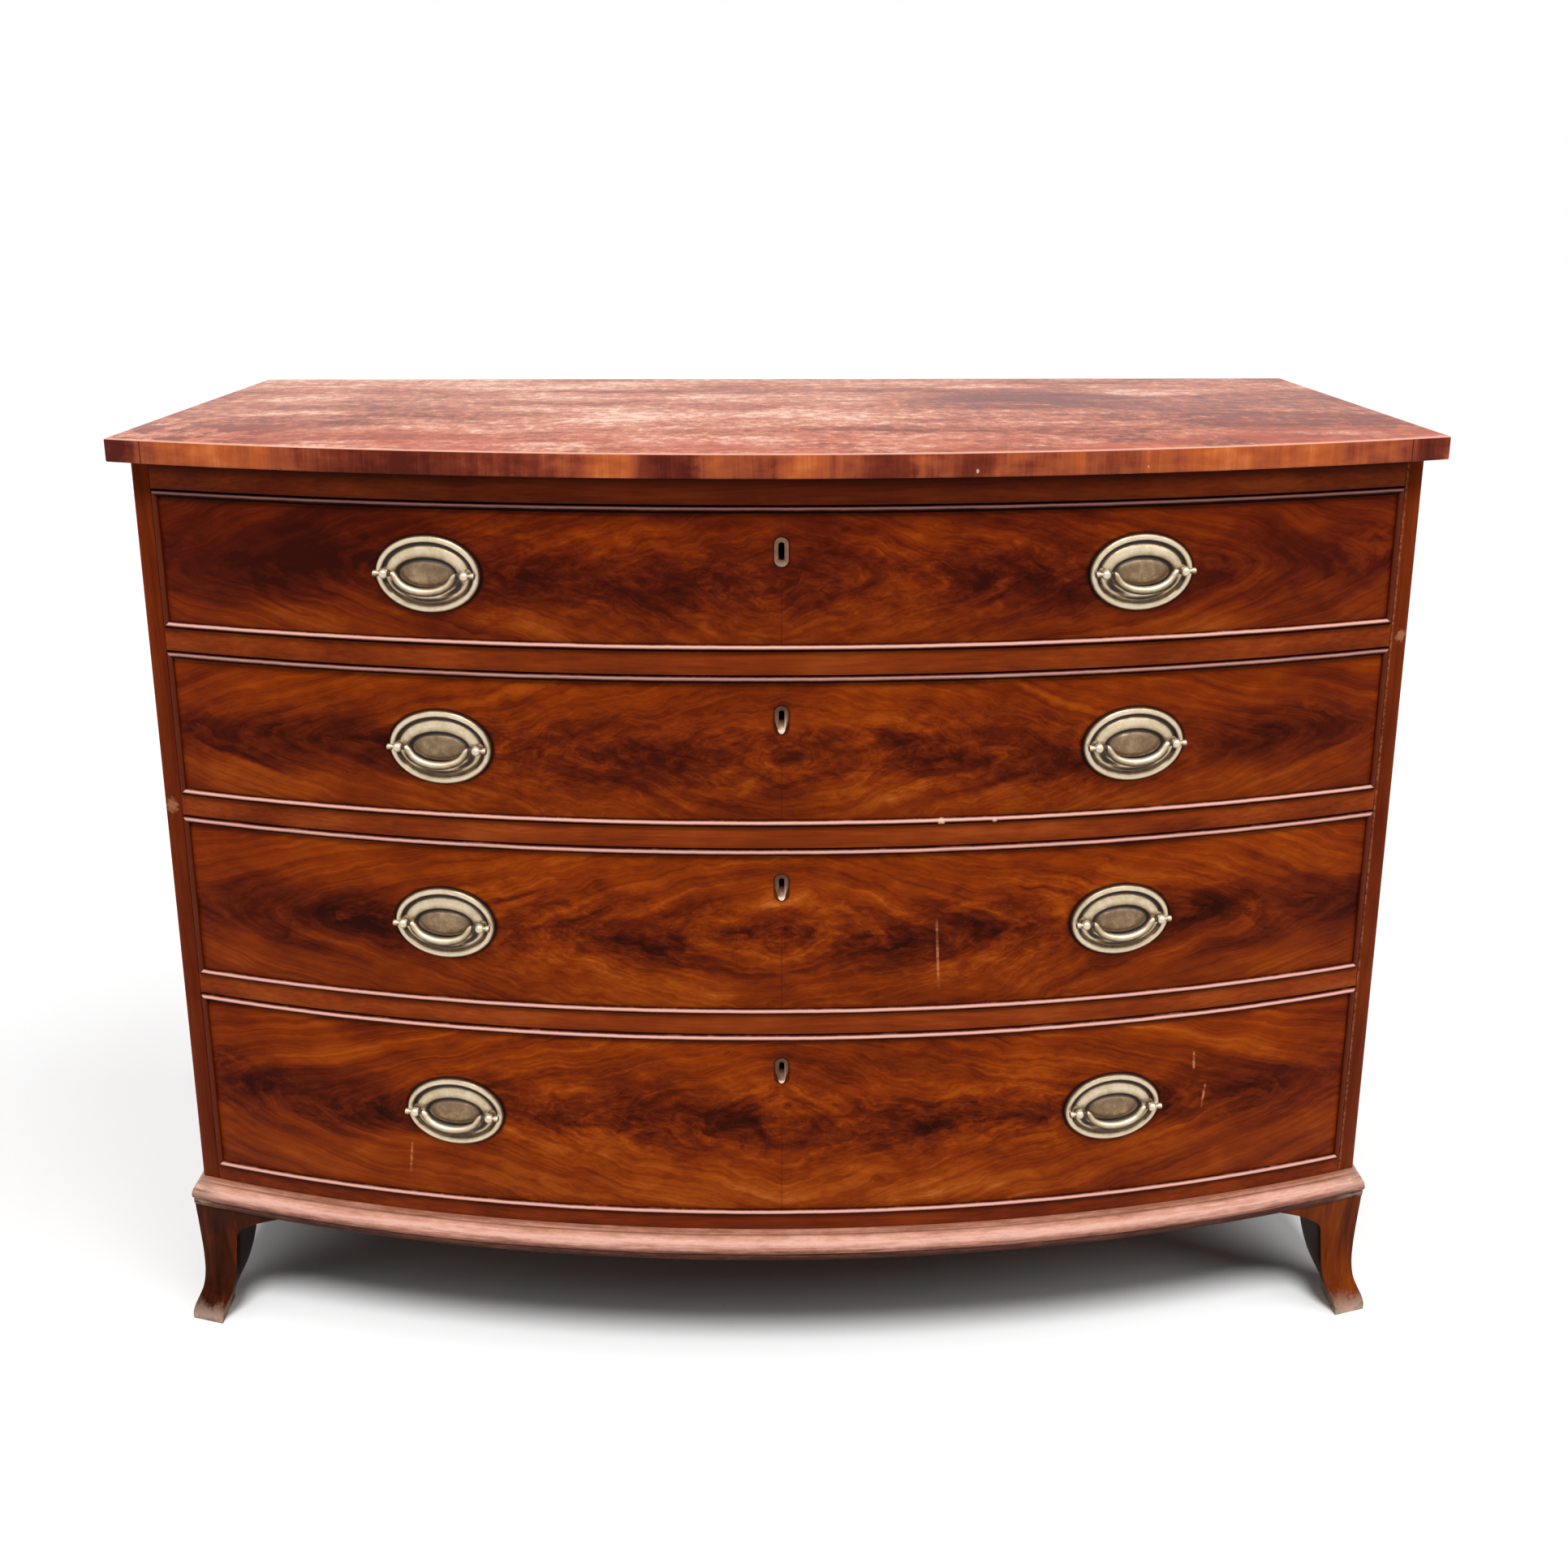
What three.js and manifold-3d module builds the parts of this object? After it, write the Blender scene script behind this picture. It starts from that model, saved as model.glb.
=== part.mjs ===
// Bow front chest of four long graduated drawers, in millimetres, +Z up, front towards -Y.
// Every plan curve is an arc about one centre, and an offset is counted outwards from the case front.
// Places are first measured from the case's front corners and the floor.
// The last lines then move the whole chest over its own origin, below the middle of its outline.
import * as THREE from 'three';
import { mergeVertices } from 'three/addons/utils/BufferGeometryUtils.js';
import Module from 'manifold-3d';

const wasm = await Module();
wasm.setup();

// Case
const caseWidth = 1050;
const caseDepth = 460;
const bowRise = 92;
const sideThickness = 15.5;
const backThickness = 12;
const bottomThickness = 14;
const topRailHeight = 22.5;
const topRailDepth = 70;
const dividerThicknesses = [19.2, 18.5, 17.8];
const runnerWidth = 45;
const frontRailWidth = 60;
const dustPanelThickness = 8;

// Top board
const topThickness = 19;
const topSideOverhang = 15;
const topFrontOverhang = 18;
const topBackOverhang = 4;

// Base moulding
const baseHeight = 24.5;
const baseProjection = 10.4;
const baseMemberWidth = 50;
const baseProfileShares = [
  [0.865, 0], [0.885, 0.18], [0.837, 0.21], [0.952, 0.26], [1, 0.36], [0.962, 0.49], [0.856, 0.6],
  [0.692, 0.7], [0.5, 0.77], [0.327, 0.8], [0.25, 0.825], [0.144, 0.92], [0, 1],
];

// Feet
const footHeight = 116;
const footFrontReach = 88;
const footSideReach = 100;
const footThickness = 16;
const footBlockWidth = 38;
const footBlockDepth = 58;
const toeFlare = 18;
const footLevelShares = [0, 0.05, 0.11, 0.18, 0.26, 0.38, 0.54, 0.68, 0.8, 0.885, 0.93, 1];
const footFlareShares = [1, 1, 0.9, 0.68, 0.47, 0.35, 0.33, 0.36, 0.4, 0.43, 0.45, 0.47];
const footFrontShares = [0.318, 0.318, 0.324, 0.33, 0.335, 0.352, 0.381, 0.415, 0.466, 0.648, 0.773, 1];
const footSideShares = [0.42, 0.425, 0.44, 0.46, 0.48, 0.51, 0.54, 0.57, 0.62, 0.74, 0.84, 1];

// Drawers, from the top one down
const openingHeights = [115.6, 126.3, 147.4, 171.2];
const drawerSideClearance = 1;
const drawerTopClearance = 1;
const drawerFootClearance = 0.7;
const frontThickness = 24;
const drawerSideThickness = 10;
const drawerSideDrop = 8;
const drawerBackThickness = 10;
const drawerBackDrop = 8;
const drawerBackSpace = 20;
const drawerBottomThickness = 8;
const drawerBottomLift = 6;
const beadThickness = 5;
const beadProud = 3.2;

// Locks
const keyholeDrops = [36.4, 36.6, 34, 34];
const escutcheonWidth = 11.5;
const escutcheonHeight = 23;
const escutcheonProud = 0.3;
const keySlotWidth = 4.8;
const keySlotHeight = 15;
const lockWidth = 62;
const lockHeight = 44;
const lockDepth = 11;
const lockTopInset = 3;

// Handles
const handleLeftReaches = [277, 274.5, 279, 279.5];
const handleRightReaches = [284, 285.5, 282.5, 285];
const handleLifts = [0, -2, 0, 2.5];
const plateHalfWidth = 43;
const plateHalfHeight = 31;
const plateProfile = {
  insets: [0, 0, 2.4, 5, 7, 17.5, 20, 21.5, 26],
  heights: [0, 1.6, 3, 1.4, 2, 3.6, 2, 3.4, 4.8],
};
const postHalfSpacing = 33;
const postRadius = 2.4;
const knobRadius = 4;
const bailAxisLift = 1;
const bailAxisReach = 10;
const bailRadius = 1.9;
const bailHalfWidth = 27;
const bailDrop = 14;
const bailPinEnd = 41.5;

// Fits
const jointGap = 0.3;
const bailPinClearance = 0.35;
const cutOverrun = 5;

// Fineness of curves
const bowSegments = 16;
const ovalSegments = 20;
const noseSegments = 4;
const knobSegments = 8;
const bailSides = 8;
const bailSteps = 22;

// Values worked out from the sizes above
const halfCase = caseWidth / 2;
const bowRadius = (halfCase ** 2 + bowRise ** 2) / (2 * bowRise);
const bowCentreY = bowRadius - bowRise;
const halfOpening = halfCase - sideThickness;
const baseTop = footHeight + baseHeight;
const bottomTop = baseTop + bottomThickness;
const openings = stackOpenings();
const topRailFoot = openings[0].top;
const caseTop = topRailFoot + topRailHeight;
const topBack = caseDepth + topBackOverhang;
const topFront = bowRise + topFrontOverhang;
const halfDrawer = halfOpening - drawerSideClearance;
const halfFront = halfDrawer - beadThickness - jointGap;
const dividerBack = caseDepth - backThickness - jointGap;
const drawerBack = dividerBack - drawerBackSpace;

function stackOpenings() {
  const found = [];
  let floor = bottomTop;
  for (let i = openingHeights.length - 1; i >= 0; i -= 1) {
    const top = floor + openingHeights[i];
    found.unshift({ floor, top });
    floor = i > 0 ? top + dividerThicknesses[i - 1] : top;
  }
  return found;
}

const material = (color, roughness, metalness = 0) => new THREE.MeshStandardMaterial({ color, roughness, metalness });
const finishes = {
  topVeneer: () => material(0x8a3a28, 0.5),
  railVeneer: () => material(0x6a2410, 0.35),
  flameVeneer: () => material(0x7c3412, 0.25),
  bead: () => material(0x5a2018, 0.3),
  baseMoulding: () => material(0x94523c, 0.45),
  foot: () => material(0x5c2612, 0.4),
  pine: () => material(0xb08a58, 0.8),
  oak: () => material(0xa98250, 0.75),
  brass: () => material(0xa8935f, 0.4, 0.9),
};

// Height on plan of the arc at an offset from the case front
function bowY(x, offset = 0) {
  return bowCentreY - Math.sqrt((bowRadius + offset) ** 2 - x * x);
}

function bowLine(halfWidth, offset = 0) {
  const points = [];
  for (let i = 0; i <= bowSegments; i += 1) {
    const x = halfWidth * (2 * i / bowSegments - 1);
    points.push(new THREE.Vector2(x, bowY(x, offset)));
  }
  return points;
}

function prism(points, foot, top) {
  const geometry = new THREE.ExtrudeGeometry(new THREE.Shape(points), { depth: top - foot, bevelEnabled: false });
  return geometry.translate(0, 0, foot);
}

// Board with a bowed front edge and a straight back
function bowBoard(halfWidth, offset, back, foot, top) {
  const corners = [new THREE.Vector2(halfWidth, back), new THREE.Vector2(-halfWidth, back)];
  return prism([...bowLine(halfWidth, offset), ...corners], foot, top);
}

// Panel bowed on both faces
function bowPanel(halfWidth, outer, inner, foot, top) {
  return prism([...bowLine(halfWidth, outer), ...bowLine(halfWidth, inner).reverse()], foot, top);
}

// Board between two x values whose front end follows the arc
function bowEndBoard(x0, x1, frontOffset, frontGap, back, foot, top) {
  const outline = [
    new THREE.Vector2(x0, bowY(x0, frontOffset) + frontGap),
    new THREE.Vector2(x1, bowY(x1, frontOffset) + frontGap),
    new THREE.Vector2(x1, back),
    new THREE.Vector2(x0, back),
  ];
  return prism(outline, foot, top);
}

function slab(x0, x1, y0, y1, foot, top) {
  const geometry = new THREE.BoxGeometry(x1 - x0, y1 - y0, top - foot);
  return geometry.translate((x0 + x1) / 2, (y0 + y1) / 2, (foot + top) / 2);
}

// Turns a surface inside out if its faces point inwards
function facedOutwards(geometry) {
  const position = geometry.getAttribute('position');
  const index = Array.from(geometry.getIndex().array);
  const [a, b, c] = [new THREE.Vector3(), new THREE.Vector3(), new THREE.Vector3()];
  let volume = 0;
  for (let i = 0; i < index.length; i += 3) {
    a.fromBufferAttribute(position, index[i]);
    b.fromBufferAttribute(position, index[i + 1]);
    c.fromBufferAttribute(position, index[i + 2]);
    volume += a.dot(b.cross(c));
  }
  if (volume < 0) {
    for (let i = 0; i < index.length; i += 3) {
      [index[i], index[i + 2]] = [index[i + 2], index[i]];
    }
    geometry.setIndex(index);
  }
  return geometry;
}

// Skin over rings of equal length; an outline closes both ends, and without one the last ring meets the first
function loft(rings, outline = null) {
  const count = rings[0].length;
  const positions = rings.flat().flatMap((point) => [point.x, point.y, point.z]);
  const index = [];
  const spans = outline ? rings.length - 1 : rings.length;
  for (let i = 0; i < spans; i += 1) {
    const near = i * count;
    const far = ((i + 1) % rings.length) * count;
    for (let j = 0; j < count; j += 1) {
      const next = (j + 1) % count;
      index.push(near + j, near + next, far + next, near + j, far + next, far + j);
    }
  }
  if (outline) {
    const lastRing = (rings.length - 1) * count;
    for (const [a, b, c] of THREE.ShapeUtils.triangulateShape(outline, [])) {
      index.push(c, b, a, lastRing + a, lastRing + b, lastRing + c);
    }
  }
  const geometry = new THREE.BufferGeometry();
  geometry.setAttribute('position', new THREE.Float32BufferAttribute(positions, 3));
  geometry.setIndex(index);
  return facedOutwards(geometry);
}

function toSolid(geometry) {
  const bare = geometry.clone();
  bare.deleteAttribute('normal');
  bare.deleteAttribute('uv');
  const merged = mergeVertices(bare);
  const vertProperties = new Float32Array(merged.getAttribute('position').array);
  const triVerts = new Uint32Array(merged.getIndex().array);
  return new wasm.Manifold(new wasm.Mesh({ numProp: 3, vertProperties, triVerts }));
}

function toGeometry(solid) {
  const { vertProperties, triVerts } = solid.getMesh();
  const geometry = new THREE.BufferGeometry();
  geometry.setAttribute('position', new THREE.BufferAttribute(vertProperties, 3));
  geometry.setIndex(new THREE.BufferAttribute(triVerts, 1));
  return geometry;
}

function cut(body, ...tools) {
  return toGeometry(tools.reduce((solid, tool) => solid.subtract(toSolid(tool)), toSolid(body)));
}

function join(body, ...others) {
  return toGeometry(others.reduce((solid, other) => solid.add(toSolid(other)), toSolid(body)));
}

const chest = new THREE.Group();

function place(parent, name, geometry, finish) {
  const mesh = new THREE.Mesh(geometry, finish);
  mesh.name = name;
  parent.add(mesh);
  return mesh;
}

// Case boards and rails
function buildCase() {
  const halfTop = halfCase + topSideOverhang;
  const boardFoot = caseTop + jointGap;
  place(chest, 'top_board', bowBoard(halfTop, topFrontOverhang, topBack, boardFoot, caseTop + topThickness),
    finishes.topVeneer());
  const sideFoot = baseTop + jointGap;
  const leftSide = bowEndBoard(-halfCase, -halfOpening, 0, 0, caseDepth, sideFoot, caseTop);
  const rightSide = bowEndBoard(halfOpening, halfCase, 0, 0, caseDepth, sideFoot, caseTop);
  place(chest, 'case_side_left', leftSide, finishes.railVeneer());
  place(chest, 'case_side_right', rightSide, finishes.railVeneer());
  const innerHalf = halfOpening - jointGap;
  place(chest, 'back_panel', slab(-innerHalf, innerHalf, caseDepth - backThickness, caseDepth, sideFoot, caseTop),
    finishes.pine());
  place(chest, 'bottom_board', bowBoard(innerHalf, 0, dividerBack, sideFoot, bottomTop), finishes.railVeneer());
  place(chest, 'top_rail', bowBoard(innerHalf, 0, topRailDepth, topRailFoot, caseTop), finishes.railVeneer());
  const names = ['divider_upper', 'divider_middle', 'divider_lower'];
  names.forEach((name, i) => {
    const foot = openings[i + 1].top;
    place(chest, name, dividerGeometry(innerHalf, foot, openings[i].floor), finishes.railVeneer());
  });
}

// Front rail, two runners and the thin dust panel that they carry, made up as one frame
function dividerGeometry(innerHalf, foot, top) {
  const board = bowBoard(innerHalf, 0, dividerBack, foot, top);
  const recessHalf = innerHalf - runnerWidth;
  const recess = slab(-recessHalf, recessHalf, frontRailWidth, dividerBack + cutOverrun, foot - cutOverrun,
    top - dustPanelThickness);
  return cut(board, recess);
}

// Corner of the base on plan, at a share of the way along the mitre from inside to outside
function mitrePoint(share) {
  const outerX = halfCase + baseProjection;
  const innerX = halfCase - baseMemberWidth;
  const outerY = bowY(outerX, baseProjection);
  const innerY = bowY(innerX, -baseMemberWidth);
  return new THREE.Vector2(innerX + (outerX - innerX) * share, innerY + (outerY - innerY) * share);
}

// Section of a base member, as shares along the mitre and heights
function baseSection() {
  const whole = baseMemberWidth + baseProjection;
  const moulded = baseProfileShares.map(([out, up]) => {
    return new THREE.Vector2((baseMemberWidth + out * baseProjection) / whole, footHeight + up * baseHeight);
  });
  return [new THREE.Vector2(0, footHeight), ...moulded, new THREE.Vector2(0, baseTop)];
}

function buildBase() {
  const section = baseSection();
  const centre = new THREE.Vector2(0, bowCentreY);
  const stations = [];
  for (let i = 0; i <= bowSegments; i += 1) {
    const across = 2 * i / bowSegments - 1;
    stations.push(section.map((point) => {
      const end = mitrePoint(point.x);
      const x = across * end.x;
      return new THREE.Vector3(x, bowY(x, end.distanceTo(centre) - bowRadius), point.y);
    }));
  }
  place(chest, 'base_moulding_front', loft(stations, section), finishes.baseMoulding());
  const hands = { left: -1, right: 1 };
  for (const [hand, sign] of Object.entries(hands)) {
    const front = section.map((point) => {
      const end = mitrePoint(point.x);
      return new THREE.Vector3(sign * end.x, end.y + jointGap, point.y);
    });
    const back = front.map((point) => new THREE.Vector3(point.x, caseDepth, point.z));
    place(chest, `base_moulding_${hand}`, loft([front, back], section), finishes.baseMoulding());
  }
}

// Outline of a foot on plan at one level, along its two arms from the outer corner
function footOutline(frontReach, sideReach) {
  const slack = footThickness / 32;
  const blockWidth = Math.min(frontReach - slack, footBlockWidth);
  const blockDepth = Math.min(sideReach - slack, footBlockDepth);
  return [
    new THREE.Vector2(0, 0),
    new THREE.Vector2(frontReach, 0),
    new THREE.Vector2(frontReach, footThickness),
    new THREE.Vector2(blockWidth, footThickness),
    new THREE.Vector2(blockWidth, blockDepth),
    new THREE.Vector2(footThickness, blockDepth),
    new THREE.Vector2(footThickness, sideReach),
    new THREE.Vector2(0, sideReach),
  ];
}

// A swept foot: its outer faces flare out to the toe, and its arms rise in a bracket under the base
function footGeometry(frontAngle, frontFlare) {
  const along = new THREE.Vector2(Math.cos(frontAngle), -Math.sin(frontAngle));
  const outlineAtTop = footOutline(footFrontReach, footSideReach);
  const levels = footLevelShares.map((level, i) => {
    const flare = toeFlare * footFlareShares[i];
    const outline = footOutline(footFrontReach * footFrontShares[i], footSideReach * footSideShares[i]);
    const cornerY = (Math.sin(frontAngle) * flare - flare * frontFlare) / Math.cos(frontAngle);
    return outline.map((point) => new THREE.Vector3(
      point.x * along.x - flare,
      point.x * along.y + point.y + cornerY,
      level * (footHeight - jointGap),
    ));
  });
  return loft(levels, outlineAtTop);
}

function buildFeet() {
  const frontAngle = Math.asin((halfCase - footFrontReach / 2) / bowRadius);
  const hands = { left: 1, right: -1 };
  for (const [hand, sign] of Object.entries(hands)) {
    const front = footGeometry(frontAngle, 1).translate(-halfCase, 0, 0);
    place(chest, `front_foot_${hand}`, handed(front, sign, 1), finishes.foot());
    const back = footGeometry(0, 0).translate(-halfCase, -caseDepth, 0);
    place(chest, `back_foot_${hand}`, handed(back, sign, -1), finishes.foot());
  }
}

// Mirrors a geometry across the planes of x and y, and keeps its faces outwards
function handed(geometry, alongX, alongY) {
  return facedOutwards(geometry.scale(alongX, alongY, 1));
}

// Upright slot shape with round ends, standing in the plane of x and z and extruded along y
function slotPrism(width, height, z, y0, y1) {
  const radius = width / 2;
  const reach = height / 2 - radius;
  const shape = new THREE.Shape();
  shape.absarc(0, reach, radius, 0, Math.PI, false);
  shape.absarc(0, -reach, radius, Math.PI, 2 * Math.PI, false);
  const geometry = new THREE.ExtrudeGeometry(shape, { depth: y1 - y0, bevelEnabled: false, curveSegments: noseSegments });
  return geometry.rotateX(Math.PI / 2).translate(0, y1, z);
}

// Lock case behind the front, with the brass-lined keyhole that runs through the front
function lockGeometry(keyholeZ, frontTop) {
  const face = bowY(0, escutcheonProud);
  const caseFront = bowY(lockWidth / 2, -frontThickness) + 2 * jointGap;
  const caseBack = caseFront + lockDepth;
  const body = slab(-lockWidth / 2, lockWidth / 2, caseFront, caseBack, frontTop - lockTopInset - lockHeight,
    frontTop - lockTopInset);
  const sleeve = slotPrism(escutcheonWidth, escutcheonHeight, keyholeZ, face, caseFront + lockDepth / 2);
  const slot = slotPrism(keySlotWidth, keySlotHeight, keyholeZ, face - cutOverrun, caseBack + cutOverrun);
  return cut(join(body, sleeve), slot);
}

// Section of the bead as offsets from the case front and insets from the drawer's outline
function beadSection() {
  const radius = beadThickness / 2;
  const section = [new THREE.Vector2(-frontThickness, beadThickness), new THREE.Vector2(-frontThickness, 0)];
  for (let i = 0; i <= noseSegments; i += 1) {
    const angle = Math.PI * (i / noseSegments - 1 / 2);
    section.push(new THREE.Vector2(beadProud - radius + radius * Math.cos(angle), radius + radius * Math.sin(angle)));
  }
  return section;
}

// Four mitred strips glued round the front, as one ring
function cockbeadGeometry(foot, top) {
  const section = beadSection();
  const stations = [];
  for (const [z, up] of [[foot, 1], [top, -1]]) {
    for (let i = 0; i <= bowSegments; i += 1) {
      const across = up * (2 * i / bowSegments - 1);
      const corner = Math.abs(across) === 1 ? 1 : 0;
      stations.push(section.map(({ x: offset, y: inset }) => {
        const x = across * (halfDrawer - inset * corner);
        return new THREE.Vector3(x, bowY(x, offset), z + up * inset);
      }));
    }
  }
  return loft(stations);
}

function ovalRing(inset, height) {
  const ring = [];
  for (let i = 0; i < ovalSegments; i += 1) {
    const angle = 2 * Math.PI * i / ovalSegments;
    const x = (plateHalfWidth - inset) * Math.cos(angle);
    const z = (plateHalfHeight - inset) * Math.sin(angle);
    ring.push(new THREE.Vector3(x, -height, z));
  }
  return ring;
}

// Pressed oval plate with two posts whose round knobs are bored for the bail's pins
function backplateGeometry() {
  const rings = plateProfile.insets.map((inset, i) => ovalRing(inset, plateProfile.heights[i]));
  const outline = rings[0].map((point) => new THREE.Vector2(point.x, point.z));
  const additions = [];
  const bores = [];
  for (const side of [-1, 1]) {
    const x = side * postHalfSpacing;
    const stem = new THREE.CylinderGeometry(postRadius, postRadius, bailAxisReach, knobSegments);
    additions.push(stem.translate(x, -bailAxisReach / 2, bailAxisLift));
    const knob = new THREE.SphereGeometry(knobRadius, knobSegments, knobSegments / 2);
    additions.push(knob.translate(x, -bailAxisReach, bailAxisLift));
    const boreRadius = bailRadius + bailPinClearance;
    const bore = new THREE.CylinderGeometry(boreRadius, boreRadius, 4 * knobRadius, bailSides);
    bores.push(bore.rotateZ(Math.PI / 2).translate(x, -bailAxisReach, bailAxisLift));
  }
  return cut(join(loft(rings, outline), ...additions), ...bores);
}

// Half oval wire that hangs on two pins turned outwards, about an axis along x at the origin
function bailGeometry() {
  const bend = bailHalfWidth - bailRadius / 4;
  const half = [new THREE.Vector3(-bailPinEnd, 0, 0), new THREE.Vector3(-postHalfSpacing, 0, 0)];
  half.push(new THREE.Vector3(-bend - bailRadius, -bailRadius / 8, 0));
  const curvePoints = 4;
  for (let i = 1; i <= curvePoints; i += 1) {
    const angle = Math.PI * (1 + i / curvePoints / 2);
    half.push(new THREE.Vector3(bailHalfWidth * Math.cos(angle), bailDrop * Math.sin(angle), 0));
  }
  const mirrored = half.slice(0, -1).reverse().map((point) => new THREE.Vector3(-point.x, point.y, 0));
  const path = new THREE.CatmullRomCurve3([...half, ...mirrored], false, 'centripetal');
  const section = new THREE.Shape();
  section.absarc(0, 0, bailRadius, 0, 2 * Math.PI, false);
  const options = { steps: bailSteps, bevelEnabled: false, extrudePath: path, curveSegments: bailSides / 2 };
  return new THREE.ExtrudeGeometry(section, options).rotateX(Math.PI / 2);
}

function buildDrawer(number, opening, plate, bail) {
  const name = (piece) => `drawer_${number}_${piece}`;
  const beadFoot = opening.floor + drawerFootClearance;
  const beadTop = opening.top - drawerTopClearance;
  const frontFoot = beadFoot + beadThickness + jointGap;
  const frontTop = beadTop - beadThickness - jointGap;
  const keyholeZ = opening.top - keyholeDrops[number - 1];
  const faceY = bowY(0);
  const hole = slotPrism(escutcheonWidth + 2 * jointGap, escutcheonHeight + 2 * jointGap, keyholeZ,
    faceY - cutOverrun, faceY + frontThickness + cutOverrun);
  const front = bowPanel(halfFront, 0, -frontThickness, frontFoot, frontTop);
  place(chest, name('front'), cut(front, hole), finishes.flameVeneer());
  place(chest, name('cockbead'), cockbeadGeometry(beadFoot, beadTop), finishes.bead());
  place(chest, name('lock'), lockGeometry(keyholeZ, frontTop), finishes.brass());

  const sideFoot = opening.floor + jointGap;
  const sideTop = opening.top - drawerSideDrop;
  const innerHalf = halfDrawer - drawerSideThickness;
  const sideFront = 2 * jointGap;
  const leftSide = bowEndBoard(-halfDrawer, -innerHalf, -frontThickness, sideFront, drawerBack, sideFoot, sideTop);
  const rightSide = bowEndBoard(innerHalf, halfDrawer, -frontThickness, sideFront, drawerBack, sideFoot, sideTop);
  place(chest, name('side_left'), leftSide, finishes.oak());
  place(chest, name('side_right'), rightSide, finishes.oak());
  const bottomHalf = innerHalf - jointGap;
  const bottomFoot = sideFoot + drawerBottomLift;
  const bottomUp = bottomFoot + drawerBottomThickness;
  const bottomOffset = -frontThickness - sideFront;
  place(chest, name('bottom'), bowBoard(bottomHalf, bottomOffset, drawerBack, bottomFoot, bottomUp), finishes.pine());
  const back = slab(-bottomHalf, bottomHalf, drawerBack - drawerBackThickness, drawerBack, bottomUp + jointGap,
    sideTop - drawerBackDrop);
  place(chest, name('back'), back, finishes.oak());

  const handleZ = (opening.floor + opening.top) / 2 + handleLifts[number - 1];
  const places = { left: -handleLeftReaches[number - 1], right: handleRightReaches[number - 1] };
  for (const [hand, x] of Object.entries(places)) {
    const seat = new THREE.Group();
    seat.position.set(x, bowY(x, jointGap), handleZ);
    seat.rotation.z = Math.asin(x / bowRadius);
    chest.add(seat);
    place(seat, name(`backplate_${hand}`), plate, finishes.brass());
    const hung = place(seat, name(`bail_${hand}`), bail, finishes.brass());
    hung.position.set(0, -bailAxisReach, bailAxisLift);
  }
}

buildCase();
buildBase();
buildFeet();
const plateShape = backplateGeometry();
const bailShape = bailGeometry();
openings.forEach((opening, i) => buildDrawer(i + 1, opening, plateShape, bailShape));
chest.position.y = (topFront - topBack) / 2;

export default chest;
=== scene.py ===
# Bow front chest of drawers: finished boards, beads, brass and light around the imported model.
import bmesh
import bpy
import math
from mathutils import Matrix, Vector


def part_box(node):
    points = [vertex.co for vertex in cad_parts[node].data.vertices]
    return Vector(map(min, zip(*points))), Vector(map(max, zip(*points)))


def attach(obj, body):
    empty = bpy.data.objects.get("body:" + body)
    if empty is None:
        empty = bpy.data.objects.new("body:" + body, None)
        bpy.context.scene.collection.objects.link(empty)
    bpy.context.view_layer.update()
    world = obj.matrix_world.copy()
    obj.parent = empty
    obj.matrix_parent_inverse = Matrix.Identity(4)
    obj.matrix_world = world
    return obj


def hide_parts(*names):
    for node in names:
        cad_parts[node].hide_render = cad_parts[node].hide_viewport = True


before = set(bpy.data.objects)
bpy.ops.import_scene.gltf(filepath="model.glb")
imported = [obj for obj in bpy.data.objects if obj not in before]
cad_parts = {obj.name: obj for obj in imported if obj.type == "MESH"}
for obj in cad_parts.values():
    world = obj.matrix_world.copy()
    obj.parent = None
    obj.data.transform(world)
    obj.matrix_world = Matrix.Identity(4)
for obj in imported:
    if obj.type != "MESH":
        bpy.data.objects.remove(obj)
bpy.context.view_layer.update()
scene = bpy.context.scene

# The chest's plan: every bowed face is an arc about one upright line, in metres
plan = {
    "halfCase": 0.525,
    "rise": 0.092,
    "frontY": -0.177,  # the case's front corners
    "backY": 0.283,
    "caseBack": 0.287,
}
bowRadius = (plan["halfCase"] ** 2 + plan["rise"] ** 2) / (2 * plan["rise"])
bowCentreY = bowRadius - plan["rise"] + plan["frontY"]
hands = {"left": -1, "right": 1}  # with the sign of x on each


def bowY(x, offset=0.0):
    return bowCentreY - math.sqrt((bowRadius + offset) ** 2 - x * x)


# Camera at the photograph's angle
camera = {
    "place": (-0.014, -1.5748, 0.9929),
    "downDegrees": 15.8,
    "turnDegrees": -0.7,
    "lens": 39.6,
    "sensor": 36,
    "clipEnd": 60,
    "shiftY": -0.0595,
}


def setCamera():
    bpy.ops.object.camera_add(location=camera["place"])
    made = bpy.context.object
    tilt, turn = math.radians(90 - camera["downDegrees"]), math.radians(camera["turnDegrees"])
    made.rotation_euler = (tilt, 0, turn)
    made.data.lens = camera["lens"]
    made.data.sensor_width = camera["sensor"]
    made.data.sensor_fit = "HORIZONTAL"
    made.data.shift_y = camera["shiftY"]
    made.data.clip_end = camera["clipEnd"]
    scene.camera = made
    print("camera set")


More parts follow.
